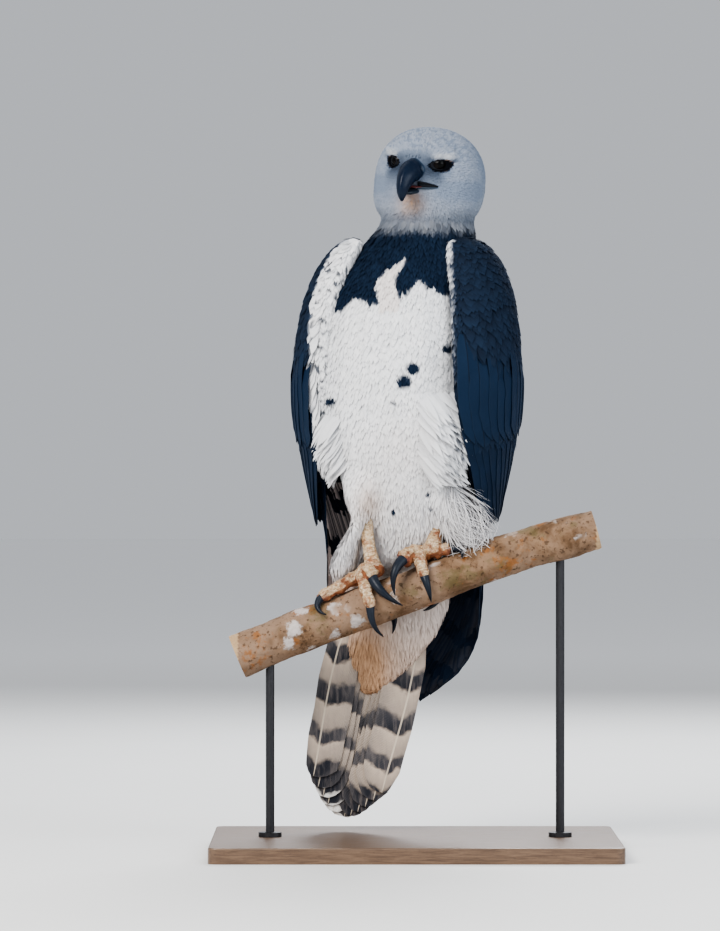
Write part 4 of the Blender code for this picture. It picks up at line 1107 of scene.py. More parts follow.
def vaneSlabs(side, tier, tips):  # all vanes of one tier as closed slabs
    count = tier["count"]
    t = np.array([0, 0.08, 0.2, 0.34, 0.48, 0.62, 0.74, 0.84, 0.91, 0.96, 0.988, 1.0])
    steps = np.array([-1, -0.58, -0.08, 0, 0.08, 0.58, 1.0])
    root = tier["root"]
    if tier["stray"]:
        root = root + tier["stray"] * draw.uniform(-1, 1, (count, 1))
    z = root + (tips[:, None] - root) * t
    share = (np.arange(count) / (count - 1))[:, None]
    front, back = np.moveaxis(through(wing["edges"], z), -1, 0)
    front = front + wing["lead"][side] * smoothStep(0.545, 0.590, z)
    pitch = (back - front) / (count - 1)
    middle = front + 3 + (back - front - 6) * share
    stations = through(wing["stations"], z)
    a = np.radians(middle)
    radius = np.maximum(np.hypot(stations[..., 2] * np.sin(a), stations[..., 3] * np.cos(a)), 0.05)
    ragged = 1 + 0.06 * draw.normal(0, 1, (count, len(t), len(steps))) * np.abs(steps)
    reach = np.degrees(tier["halfWidth"] * roundedTip(t, 0.84, 0.163, 0.45, 4) / radius)
    angle = np.minimum(middle[..., None] + reach[..., None] * steps * ragged, wing["limit"])
    lift = through(tier["lifts"], t)[None, :, :1] + wingSkin(z)[..., None]
    lift = lift + tier["step"] * (middle[..., None] - angle) / pitch[..., None]
    lift = lift + 0.0004 * (1 - steps**2) + 0.0005 * (steps == 0)
    lift = lift + 0.0006 * draw.normal(0, 1, (count, 1, 1)) * t[None, :, None] ** 2
    high = z[..., None] - 0.004 * (1 - np.abs(steps)) * t[None, :, None] ** 6
    outer = wingPoint(side, high, angle, lift + tier["thick"] / 2)
    inner = wingPoint(side, high, angle, lift - tier["thick"] / 2 - 0.0004 * (steps == 0))
    face, uv, vane = slabLayers(steps, t, draw.random(count))
    inside = np.zeros(face.shape)
    if not tier["tier"]:
        dark = 0.03 if side > 0 else 1.0  # the left wing's tip shows dark in the photo
        inside[:, 1, :-1, 1:-1] = np.where(z < 0.46, dark, 1.0)[:, :-1, None]
    mark = stacked(inside, tier["tier"], (z - tips[:, None])[:, None, :, None]).reshape(-1, 3)
    points = np.stack([outer, inner], 1).reshape(count, -1, 3)
    return points, slabFaces(len(t), len(steps))[:, ::-side], uv, vane, mark


def makeArm(side):
    bm = bmesh.new()
    rings = []
    s = np.append([0, 0.004, 0.012, 0.025, 0.045, 0.07, 0.10, 0.15, 0.22], np.arange(3, 11) / 10)
    nose = np.sqrt(1 - (1 - np.minimum(1.0, (s + 0.003) / 0.12)) ** 2)
    top = wing["topFront"] + (wing["topBack"] - wing["topFront"]) * s**1.5
    top = top - 0.012 * (1 - np.minimum(1.0, s / 0.2)) ** 2
    for v in (0, 0.012, 0.03, 0.06, 0.10, 0.15, 0.22, 0.30, 0.40, 0.50, 0.62, 0.75, 0.88, 1.0):
        crown = math.sqrt(1 - (1 - min(1.0, (v + 0.003) / 0.14)) ** 2)
        z = top + (wing["low"] - top) * v
        front, back = np.moveaxis(through(wing["edges"], z), -1, 0)
        angle = front + (back - front) * s
        half = (wing["thick"][0] + (wing["thick"][1] - wing["thick"][0]) * min(1.0, v * 1.15)) / 2
        roundOff = np.minimum(nose, crown)
        depth = 0.0025 * smoothStep(0.56, 0.66, z)
        outer = wingSkin(z) - half * (1 - roundOff) - depth * roundOff
        inner = wingSkin(z) - half * (1 + roundOff * (1 - 0.5 * s)) + depth * roundOff * 0.5
        there, back_ = wingPoint(side, z, angle, outer), wingPoint(side, z, angle, inner)
        rings.append(np.concatenate([there, back_[::-1]]))
    loft(bm, rings)
    return remeshed(f"arm_{'left' if side > 0 else 'right'}", bm, wing["voxel"], wing["soften"])


rimWidth = {  # degrees of pale feathers behind the front edge, by height
    1: ((0.44, 1.5), (0.832, 2.0), (0.850, 12.0), (0.870, 20.0)),
    -1: (
        (0.44, 2.0), (0.56, 3.0), (0.61, 7.5), (0.66, 10.0),
        (0.70, 9.0), (0.76, 14.0), (0.80, 16.0), (0.87, 20.0),
    ),
}


def armPlace(place):  # how far out on the wing, degrees back from its front edge, left side or right
    stations = through(wing["stations"], place[:, 2])
    left, rear = bodyUnturn(place, stations)
    across, back = left / stations[:, 2], rear / stations[:, 3]
    angle = np.degrees(np.arctan2(back, np.abs(across)))
    return np.hypot(across, back), angle - through(wing["edges"], place[:, 2])[:, 0], np.sign(left)


def wingMarkings(place, jitter):
    level, ahead, side = armPlace(place)
    z = place[:, 2]
    rim = np.where(side < 0, through(rimWidth[-1], z)[:, 0], through(rimWidth[1], z)[:, 0])
    rim = rim + np.where(side < 0, 2.0, 0.7) * lumps(place, 0.012, 7.0) + jitter * 0.8
    outside = smoothStep(-1.2, 1.2, ahead - rim) * smoothStep(0.60, 0.70, level)
    spots = (lumps(place, 0.0070, 4.0) + 0.25 * jitter > 0.36) * (z < 0.82)
    outside = np.maximum(outside, smoothStep(0.575, 0.560, z + 0.004 * lumps(place, 0.012, 7.0)))
    slate = np.maximum(outside * 0.975, 0.85 * spots * (outside < 0.5))
    return stacked(slate, 0.04, np.clip(0.10 + 0.10 * jitter + outside, 0, 1))


armCoat = {
    "unwrap": lambda place: bodyUnwrap(place, 0.4, 0.9), "marks": wingMarkings,
}
coats["arm"] = armCoat | {
    "spacing": 0.0074, "length": 0.0270, "halfWidth": 0.0078, "lift": 0.0050, "steps": 4,
    "profile": (0.55, 0.95, 1.0, 0.84), "wander": 0.06, "vary": 0.14, "ridge": 0.10, "tilt": 0.05,
    "shape": lambda place: 1.25 + 0.55 * smoothStep(0.76, 0.70, place[:, 2])
    - 0.65 * smoothStep(0.68, 0.85, place[:, 2]),
}
coats["rim"] = armCoat | {
    "spacing": 0.0044, "length": 0.0150, "halfWidth": 0.0034, "lift": 0.0036,
    "profile": (0.60, 1.0, 0.88), "wander": 0.10, "ridge": 0.16, "tilt": 0.10, "blend": 0.5,
}


def armLie(*_):
    return downwards + bodyTurn(0.0, 1.0) * 0.28


def onArm(place):  # where the coverts grow
    level, ahead, _ = armPlace(place)
    return (level > 0.62) & (ahead > 7) & (place[:, 2] > 0.60)


def onRim(place):
    level, ahead, _ = armPlace(place)
    return (level > 0.45) & (ahead <= 12) & (place[:, 2] > 0.605)


def makeWing(side):
    word = "left" if side > 0 else "right"
    tips = {
        "flight": flightTip(np.arange(tiers["flight"]["count"])),
        "greater": 0.452 + 0.036 * np.linspace(0, 1, tiers["greater"]["count"]),
        "median": 0.562 + 0.050 * np.linspace(0, 1, tiers["median"]["count"]),
    }
    pieces = []
    for key, tip in tips.items():
        tip = tip + 0.0055 * draw.uniform(-1, 1, len(tip))
        points, template, uv, vane, mark = vaneSlabs(side, tiers[key], tip)
        uv[:, 1] = (uv[:, 1] + len(pieces)) / len(tips)  # each tier has a third of the UV square
        pieces.append((points, template, uv, vane, mark))
    mesh = meshOf(f"wing_vanes_{word}", *joined(pieces))
    finished(f"wing_vanes_{word}", mesh, flightVane, (f"wing_{word}",), 50)
    armMesh = makeArm(side)
    markUnder(armMesh, wingMarkings)
    arm = finished(f"wing_arm_{word}", armMesh, plumage)
    tree = BVHTree.FromObject(arm, bpy.context.evaluated_depsgraph_get())
    surfaces.append(tree)
    growCoat(f"wing_coverts_{word}", armMesh, tree, coats["arm"], onArm, armLie)
    growCoat(f"wing_rim_{word}", armMesh, tree, coats["rim"], onRim, armLie)


for side in (1, -1):
    makeWing(side)


def depthBelow(places, ups, z):  # how far the body lies under the round of the wings
    depth = np.zeros(z.shape)
    for spot in np.ndindex(z.shape):
        up = Vector(ups[spot])
        found = [tree.ray_cast(Vector(places[spot]) + up * 0.03, -up, 0.08)[3] for tree in surfaces]
        depth[spot] = min([reach for reach in found if reach is not None], default=0.05) - 0.03
    depth = np.clip(depth, 0, 0.03)
    depth = 0.6 * depth + 0.4 * depth.mean(1, keepdims=True)
    return depth * smoothStep(0.640, 0.720, z)


scapulars = {
    "rows": (0.842, 0.500, -0.0125), "between": 5.6, "shift": 2.8, "last": 93, "length": 0.030,
    "longer": 0.040, "sunk": -0.010, "high": 0.0085, "halfWidth": 0.0080, "wider": 0.0045, "ridge": 0.10,
    "mark": (0.985, 0.0, 1.0),
}


def makeScapulars():  # broad feathers over the back, where the two wings meet
    t = np.array([0, 0.2, 0.42, 0.64, 0.82, 0.94, 1.0])
    wide = np.array([0.6, 0.9, 1.0, 1.0, 0.86, 0.58])
    spots = []
    for row, z in enumerate(np.arange(*scapulars["rows"])):
        first = 46 + 30 * smoothStep(0.78, 0.52, z) + scapulars["shift"] * (row % 2)
        for side in (1, -1):
            for angle in np.arange(first, scapulars["last"], scapulars["between"]):
                spots.append((z + 0.004 * draw.uniform(-1, 1), angle + 1.6 * draw.uniform(-1, 1), side))
    starts, turns, sides = np.array(spots).T
    length = scapulars["length"] + scapulars["longer"] * smoothStep(0.84, 0.56, starts)
    length = length + 0.006 * draw.uniform(-1, 1, len(starts))
    z = starts[:, None] - length[:, None] * t
    angle = turns[:, None] + (turns[:, None] - 70) * 0.06 * t
    low = scapulars["sunk"] + 0.006 * smoothStep(60, 48, turns)
    high = scapulars["high"] + 0.0020 * smoothStep(0.70, 0.50, starts)
    high = high + 0.0010 * draw.uniform(-1, 1, len(starts))
    lift = low[:, None] + (high - low)[:, None] * t**0.6 + wingSkin(z)
    lines = np.empty(z.shape + (3,))
    above = np.empty(z.shape + (3,))
    for side in (1, -1):
        some = sides == side
        lines[some] = wingPoint(side, z[some], angle[some], lift[some])
        above[some] = wingPoint(side, z[some], angle[some], lift[some] + 0.003)
    ups = unit(above - lines)
    lines = lines - ups * depthBelow(lines - ups * (lift - wingSkin(z))[..., None], ups, z)[..., None]
    ways = unit(np.gradient(lines, axis=1))
    across = unit(np.cross(ways, ups))
    ups = unit(np.cross(across, ways))
    halfWidth = scapulars["halfWidth"] + scapulars["wider"] * smoothStep(0.84, 0.60, starts)
    widths = halfWidth[:, None] * wide
    points, template, over = closedVanes(lines, across, ups, widths, scapulars["ridge"])
    vane = vaneValues(over, t, draw.random(len(points)))
    mark = np.full(vane.shape, scapulars["mark"])
    uv = nearRoot(bodyUnwrap(points[:, 1]), vane, 0.008, 0.03)
    mesh = meshOf("scapulars", *joined([(points, template, uv, vane, mark)]))
    finished("scapulars", mesh, plumage, angle=58)


makeScapulars()
print("wings made")


# Tail

tail = {
    "root": (-0.023, 0.076, 0.400), "tip": (-0.103, 0.108, 0.042), "feathers": 12,
    "lean": 0.10, "rounded": 0.13, "halfVane": 0.026, "skew": 0.010, "thick": 0.0007, "step": 0.0016,
    "spread": ((0.0, 0.020), (0.2, 0.044), (0.41, 0.056), (0.84, 0.050), (1.0, 0.047)),
}


def makeTail():
    root, tip = np.array(tail["root"]), np.array(tail["tip"])
    along = tip - root
    across = np.array([math.cos(tail["lean"]), -math.sin(tail["lean"]), 0.0])
    across = unit(across - along * (across @ along) / (along @ along))
    front = unit(np.cross(along, across))
    front = front if front[1] < 0 else -front
    outermost = (tail["feathers"] - 1) / 2
    t = np.array([0.04, 0.15, 0.28, 0.42, 0.56, 0.70, 0.82, 0.90, 0.955, 0.985, 1.0])
    profile = roundedTip(t, 0.88, 0.123, 0.35, 2.0)
    steps = np.array([-1, -0.55, -0.06, 0, 0.06, 0.55, 1.0])
    points, sides, reaches, chances = [], [], [], []
    for index in range(tail["feathers"]):
        off = index - outermost
        away, side = abs(off), math.copysign(1, off)
        layer = 2 * (away - 0.5) + (0 if side < 0 else 1) - tail["feathers"] / 2
        end = 1 - tail["rounded"] * ((away - 0.5) / (outermost - 0.5)) ** 1.5
        place = t * end
        shaft = root + along * place[:, None] + front * layer * tail["step"]
        shaft = shaft + across * (side * away / outermost * through(tail["spread"], place)[:, :1])
        ragged = 1 + 0.05 * draw.normal(0, 1, (len(t), len(steps))) * np.abs(steps)
        skew = tail["skew"] * away / outermost * side
        wide = (tail["halfVane"] * steps - skew * np.abs(steps)) * profile[:, None] * ragged
        sink = -0.0002 * np.abs(steps) + 0.0005 * (steps == 0)
        spots = shaft[:, None] + across * wide[..., None] + front * sink[:, None]
        points.append([spots + front * tail["thick"] / 2, spots - front * tail["thick"] / 2])
        sides.append((side + 1) / 2)
        reaches.append(((1 - t) * end + (1 - end) * t * 0.55) * np.linalg.norm(along))
        chances.append(draw.random())
    face, uv, vane = slabLayers(steps, t, np.array(chances))
    mark = stacked(face, np.array(sides)[:, None, None, None], np.array(reaches)[:, None, :, None])
    points = np.array(points).reshape(tail["feathers"], -1, 3)
    template = slabFaces(len(t), len(steps))[:, ::-1]
    mesh = meshOf("tail_vanes", *joined([(points, template, uv, vane, mark.reshape(-1, 3))]))
    finished("tail_vanes", mesh, tailVane, ("tail",), 50)


makeTail()
print("tail made")


# Crest

crest = (  # degrees round and up; the upper rows come first
    {"count": 11, "spread": 26, "root": 64, "tip": 26, "width": 0.0056},
    {"count": 15, "spread": 32, "root": 50, "tip": 6, "width": 0.0062},
    {"count": 16, "spread": 35, "root": 32, "tip": -14, "width": 0.0064},
    {"count": 14, "spread": 36, "root": 12, "tip": -34, "width": 0.0062},
)


def makeCrest():
    t = np.array([0, 0.10, 0.25, 0.42, 0.60, 0.76, 0.88, 0.96, 1.0])
    wide = np.array([0.45, 0.65, 0.86, 1.0, 1.0, 0.90, 0.70, 0.42])
    rows, pieces = [], []
    for number, row in enumerate(crest):
        count = row["count"]
        places = np.linspace(-1, 1, count) + 0.03 * draw.normal(0, 1, count)
        tips = row["tip"] + 12 * places**2 + 3 * draw.normal(0, 1, count)
        early = 0.0008 + 0.0008 * number  # lower rows stand off the head sooner
        lifts = through(((0, -0.005), (0.3, early), (0.7, 0.0034), (1.0, 0.0056)), t)[:, 0]
        height = row["root"] + (tips[:, None] - row["root"]) * t
        around = row["spread"] * places[:, None] * (0.72 + 0.28 * t)
        lift = lifts * (1 + 0.12 * draw.normal(0, 1, (count, 1)))
        line = headPoint(around, height, lift)
        up = unit(headPoint(around, height, lift + 0.002) - line)
        sides = unit(np.cross(unit(np.gradient(line, axis=1)), up))
        widths = row["width"] * np.broadcast_to(wide, (count, len(wide)))
        rows.append((places, *closedVanes(line, sides, up, widths, 0.14)))
    for places, points, template, over in rows:
        vane = vaneValues(over, t, draw.random(len(places)))
        dark = 0.40 + 0.60 * smoothStep(0.10, 0.60, vane[:, 1]) * (0.6 + 0.4 * vane[:, 2])
        outer = smoothStep(0.92, 0.45, np.repeat(np.abs(places), len(over)))
        dark = dark * (1 - 0.45 * np.abs(vane[:, 0])) * outer
        uv = nearRoot(headUnwrap(points[:, 1]), vane, 0.012, 0.05)
        pieces.append((points, template, uv, vane, stacked(np.maximum(dark, 0.17), 0.03, 1.0)))
    mesh = meshOf("crest_feathers", *joined(pieces))
    finished("crest_feathers", mesh, plumage, angle=50)


makeCrest()


# Eyes and lids

def ballMesh(name, segments, rings, place):  # a ball with each of its points put in place
    bm = bmesh.new()
    bmesh.ops.create_uvsphere(bm, u_segments=segments, v_segments=rings, radius=1.0)
    local = np.array([vertex.co for vertex in bm.verts])
    for vertex, spot in zip(bm.verts, place(local)):
        vertex.co = spot
    return toMesh(name, bm), local


def makeEyes():
    for side, word in ((1, "left"), (-1, "right")):
        middle, *axes = eyeAxes(side)

        def place(local):
            swell = 1 + 0.05 * smoothStep(0.80, 0.97, local[:, 2:])
            outward, across, rise = axes
            return fromHead(middle + eye["radius"] * swell * (local @ np.array([across, rise, outward])))

        mesh, local = ballMesh(f"eyeball_{word}", 40, 28, place)
        setAttribute(mesh, "vane", local)
        finished(f"eyeball_{word}", mesh, eyeGloss, (f"eye_{word}",))
        makeLids(side, word)


lids = (  # half width, up, down, then height over the eyeball (1) or over its middle (0)
    (0.0093, 0.0036, 0.0068, -0.0010, 1), (0.0098, 0.0041, 0.0074, 0.0006, 1),
    (0.0106, 0.0048, 0.0082, 0.0012, 1), (0.0122, 0.0060, 0.0094, 0.0072, 0),
    (0.0140, 0.0068, 0.0108, 0.0058, 0), (0.0160, 0.0076, 0.0122, 0.0038, 0),
    (0.0180, 0.0084, 0.0136, 0.0008, 0), (0.0160, 0.0076, 0.0118, -0.0050, 0),
    (0.0105, 0.0055, 0.0080, -0.0030, 0),
)


def makeLids(side, word):
    middle, outward, across, rise = eyeAxes(side)
    turn = np.linspace(0, 2 * math.pi, 65)[:-1]
    cos, sin = np.cos(turn), np.sin(turn)
    rings = []
    for wide, high, low, height, onBall in lids:
        x = wide * cos * eye["narrow"][side] + eye["shift"] * smoothStep(0.0098, 0.0140, wide)
        y = np.where(sin > 0, high, low) * np.sign(sin) * np.abs(sin) ** np.where(sin > 0, 0.8, 1.1)
        y = y + eye["tilt"] * x
        if onBall:
            height = height + np.sqrt(np.maximum(eye["radius"] ** 2 - x**2 - y**2, 1e-6))
        rings.append(fromHead(middle + stacked(x, y, height) @ np.array([across, rise, outward])))
    bm = bmesh.new()
    ringGrid(bm, rings + rings[:1])
    finished(f"lids_{word}", toMesh(f"lids_{word}", bm), lidSkin)


eyeGloss, lidSkin, mouthLining = makeEye(), makeLidSkin(), makeMouth()
makeEyes()


# Bill

bill = {
    "upper": (  # place, ahead, up, half width, half height
        (0.0, 0.040, 0.0125, 0.0175, 0.0150), (0.2, 0.056, 0.0140, 0.0172, 0.0158),
        (0.4, 0.070, 0.0115, 0.0152, 0.0152), (0.6, 0.083, 0.0030, 0.0124, 0.0132),
        (0.8, 0.0912, -0.0105, 0.0088, 0.0098), (0.92, 0.0918, -0.0210, 0.0058, 0.0064),
        (1.0, 0.0900, -0.0282, 0.0020, 0.0022),
    ),
    "lower": (
        (0.0, 0.040, -0.0120, 0.0150, 0.0052), (0.4, 0.058, -0.0140, 0.0125, 0.0050),
        (0.8, 0.073, -0.0165, 0.0080, 0.0036), (1.0, 0.080, -0.0172, 0.0030, 0.0016),
    ),
    "keel": 0.38, "cere": 0.40, "cereThick": 0.0007, "tooth": 0.0012,
    "nostril": (0.0640, 0.0165, 0.0170), "nostrilSize": (0.0026, 0.006, 0.0040), "nostrilDepth": 0.0034,
}


def billPart(name, stations, count, sides, keel, node):
    rings = []
    angle = 2 * math.pi * (np.arange(sides) + 0.5) / sides
    across, rise = np.cos(angle), np.sin(angle)
    pinch = 1 - keel * np.maximum(rise, 0) ** 2
    for place in np.linspace(0, 1, count):
        ahead, up, halfWidth, halfHeight = through(stations, place)
        before, after = through(stations, max(place - 0.02, 0)), through(stations, min(place + 0.02, 1))
        along = unit(np.array([after[0] - before[0], 0, after[1] - before[1]]))
        over = np.array([-along[2], 0, along[0]])
        cere = bill["cereThick"] * smoothStep(bill["cere"] + 0.03, bill["cere"] - 0.02, place) * (keel > 0)
        spots = np.array([ahead, 0, up]) + over * (rise * (halfHeight + cere))[:, None]
        spots[:, 1] += across * pinch * (halfWidth + cere)
        if keel > 0:
            for side in (1, -1):
                away = (spots - np.array(bill["nostril"]) * (1, side, 1)) / bill["nostrilSize"]
                spots[:, 1] -= side * bill["nostrilDepth"] * np.exp(-(away**2).sum(-1) ** 1.5)
            tooth = bill["tooth"] * bump(place, 0.66, 0.07) * (rise < -0.5)
            spots = spots - over * tooth[:, None]
        rings.append(fromHead(spots))
    bm = bmesh.new()
    loft(bm, rings)
    mesh = toMesh(name, bm)
    local = toHead(arraysOf(mesh)[0])
    along = np.clip((local[:, 0] - 0.045) / 0.045, 0, 1)
    along = np.maximum(along, smoothStep(0.010, -0.020, local[:, 2]) * (keel > 0))
    setAttribute(mesh, "vane", stacked(along, 1, 0.45 if keel == 0 else 0.0))
    finished(name, mesh, horn, (node,), 60)


billPart("bill_hook", bill["upper"], 56, 48, bill["keel"], "bill_upper")
billPart("bill_under", bill["lower"], 30, 36, 0.0, "bill_lower")


mouth = {"size": (0.0300, 0.0205, 0.0024), "middle": (0.0445, 0, -0.0068)}
gapeParts = (  # rise, half width and half height of the cord, height over the head, material
    ("upper", 0.0040, 0.0010, 0.0013, 0.0010, lidSkin), ("lower", -0.0042, 0.0012, 0.0016, 0.0008, horn),
    ("inside", 0.0, 0.0008, 0.0046, -0.0002, lidSkin),
)


def mouthPlace(local):
    spots = local * mouth["size"] + mouth["middle"]
    spots[:, 2] -= 0.0020 * smoothStep(0.05, 0.07, spots[:, 0])
    return fromHead(spots)


def makeMouthPiece():
    finished("mouth_lining", ballMesh("mouth_lining", 36, 16, mouthPlace)[0], mouthLining)
    t = np.linspace(0, 1, 22)
    angle = np.linspace(0, 2 * math.pi, 17)[:-1, None]
    for side, word in ((1, "left"), (-1, "right")):
        turn = np.radians(gape["first"] + gape["cord"][side] * t)
        for part, rise, width, high, lift, material in gapeParts:
            up = gape["level"] + rise * (1 - 0.80 * t**2) / 0.066 - 0.004 * t
            direction = unit(stacked(np.cos(turn), side * np.sin(turn), up))
            line = direction * (headReach(direction) - gape["sunk"] + lift)[:, None]
            ways = unit(np.gradient(line, axis=0))
            third = alongSurface(np.array([0, 0, 1.0]), ways)
            other = np.cross(ways, third)
            circle = other[:, None] * np.cos(angle) * width + third[:, None] * np.sin(angle) * high
            bm = bmesh.new()
            loft(bm, list(fromHead(line[:, None] + circle * (1 - gape["taper"] * t**2)[:, None, None])))
            mesh = toMesh(f"gape_{part}_{word}", bm)
            setAttribute(mesh, "vane", (0.3, 1.0, 0.5))
            finished(f"gape_{part}_{word}", mesh, material)


makeMouthPiece()
print("head made")


# Perch

perch = {
    "stations": (
        (-0.245, 0.270, 0.0310), (-0.200, 0.289, 0.0305), (-0.117, 0.321, 0.0300), (-0.021, 0.355, 0.0292),
        (0.062, 0.387, 0.0288), (0.143, 0.416, 0.0290), (0.250, 0.446, 0.0282),
    ),
    "rows": 260, "sides": 110, "endRings": 6, "crack": 0.0005, "ends": 0.004, "endDrop": 0.0010,
    "lumps": ((0.0011, 0.030, 0.0), (0.0006, 0.009, 3.0), (0.0003, 0.003, 6.0)),  # height, size, seed
    "knots": ((-0.165, 60, 0.010), (0.178, 35, 0.009), (0.215, 200, 0.011), (-0.215, 230, 0.009)),
}
frontwards = np.array([0, -1.0, 0])


def perchAxis(x):
    return np.array([x, 0.0, through(perch["stations"], x)[0]])


def onPerch(x, turn, height):  # turn is degrees from the top towards the front
    up = np.cross(unit(perchAxis(x + 0.001) - perchAxis(x - 0.001)), frontwards)
    up = up if up[2] > 0 else -up
    angle = math.radians(turn)
    radius = through(perch["stations"], x)[1] + height
    return perchAxis(x) + (up * math.cos(angle) + frontwards * math.sin(angle)) * radius


def makePerch():
    low, high = perch["stations"][0][0], perch["stations"][-1][0]
    sides = perch["sides"]
    xs = np.linspace(low, high, perch["rows"])
    z, radius = np.moveaxis(through(perch["stations"], xs), -1, 0)
    radius = radius * (1 + 0.02 * np.sin(xs * 70))
    slope = unit(stacked(np.gradient(xs), 0.0, np.gradient(z)))
    up = stacked(-slope[:, 2], 0.0, slope[:, 0])[:, None]
    angle = np.linspace(0, 2 * math.pi, sides + 1)[:-1, None]
    circle = up * np.cos(angle) + frontwards * np.sin(angle)
    flat = (stacked(xs, 0.0, z)[:, None] + circle * radius[:, None, None]).reshape(-1, 3)
    rough = sum(height * lumps(flat, size, seed) for height, size, seed in perch["lumps"])
    rough -= perch["crack"] * (lumps(flat * np.array([0.35, 1, 1]), 0.0045, 8.0) > 0.35) + 0.0006
    for x, turn, size in perch["knots"]:
        away = np.linalg.norm(flat - onPerch(x, turn, 0.0), axis=-1) / size
        rough += 0.0026 * np.exp(-(away**2)) - 0.0034 * np.exp(-((away / 0.45) ** 2))
    ends = smoothStep(0, perch["ends"], xs - low) * smoothStep(0, perch["ends"], high - xs)
    ends = np.repeat(ends, sides)
    moved = flat + circle.reshape(-1, 3) * (rough * ends - perch["endDrop"] * (1 - ends))[:, None]
    bm = bmesh.new()
    loft(bm, list(moved.reshape(-1, sides, 3)))
    caps = [face for face in bm.faces if len(face.verts) > 8]
    for _ in range(perch["endRings"]):
        bmesh.ops.inset_region(bm, faces=caps, thickness=0.0038, depth=0.0)
    mesh = toMesh("perch_bark", bm)
    x = arraysOf(mesh)[0][:, 0]
    setAttribute(mesh, "vane", stacked((x < low + 0.0011) | (x > high - 0.0011), 0.0, 0.0))
    finished("perch_bark", mesh, makeBark(), ("perch_branch",), 50)


makePerch()
print("perch made")


# Feet

feet = {
    "shanks": {
        "right": ((-0.070, 0.004, 0.474), (-0.065, -0.008, 0.430), (-0.057, -0.010, 0.390)),
        "left": ((0.036, 0.010, 0.478), (0.030, 0.003, 0.450), (0.024, -0.006, 0.419)),
    },
    "shankRadius": 0.0112, "toeRadius": 0.0092, "ballRadius": 0.0150, "voxel": 0.0011,
    "clawRadius": 0.006996, "clawRoot": 0.0045, "clawTaper": 0.72, "clawFlat": 0.86, "clawTip": 0.00025,
    "toes": {  # places on the perch (X, degrees, height), then the claw's reach, bow and size
        "right": {
            "inner": (
                ((-0.057, 5, 0.018), (-0.050, 26, 0.020), (-0.046, 42, 0.016)),
                (0.040, -0.010, -0.036), 0.012, 1.15,
            ),
            "middle": (
                ((-0.058, 5, 0.017), (-0.060, 48, 0.012), (-0.061, 94, 0.008)),
                (0.017, 0.006, -0.040), 0.008, 0.9,
            ),
            "outer": (
                ((-0.059, 5, 0.016), (-0.090, 16, 0.010), (-0.121, 28, 0.008)),
                (0.011, -0.019, -0.022), 0.009, 0.85,
            ),
            "hind": (
                ((-0.057, 0, 0.017), (-0.052, -46, 0.014), (-0.046, -92, 0.010)),
                (0.014, -0.010, -0.044), 0.012, 1.2,
            ),
        },
        "left": {
            "inner": (
                ((0.023, 5, 0.018), (0.009, 22, 0.022), (-0.002, 34, 0.024)),
                (-0.010, -0.013, -0.048), 0.012, 1.15,
            ),
            "middle": (
                ((0.022, 5, 0.017), (0.019, 40, 0.013), (0.017, 72, 0.008)),
                (0.009, 0.002, -0.034), 0.008, 0.9,
            ),
            "outer": (
                ((0.025, 5, 0.015), (0.043, 12, 0.010), (0.062, 18, 0.008)),
                (0.014, -0.018, -0.014), 0.009, 0.85,
            ),
            "hind": (
                ((0.023, 0, 0.017), (0.028, -46, 0.014), (0.032, -94, 0.010)),
                (-0.022, -0.022, -0.040), 0.012, 1.2,
            ),
        },
    },
}


def curvePoints(controls, count):
    stations = [(k / (len(controls) - 1), *point) for k, point in enumerate(controls)]
    return through(stations, np.linspace(0, 1, count))


def tubeRings(points, radii, ups, sides, flat=1.0):  # flat lowers the underside
    ahead = unit(np.gradient(points, axis=0))
    up = alongSurface(ups, ahead)
    side = np.cross(ahead, up)
    angle = 2 * math.pi * (np.arange(sides) + 0.5) / sides
    rise = np.sin(angle) * np.where(np.sin(angle) < 0, np.reshape(flat, (-1, 1)), 1.0)
    offset = side[:, None] * np.cos(angle)[:, None] + up[:, None] * rise[..., None]
    return points[:, None] + offset * radii[:, None, None], ahead, up


def toeLine(toe, count):
    return np.array([onPerch(*place) for place in curvePoints(toe[0], count)])


def perchUp(points):
    return unit(points - np.array([perchAxis(x) for x in points[:, 0]]))


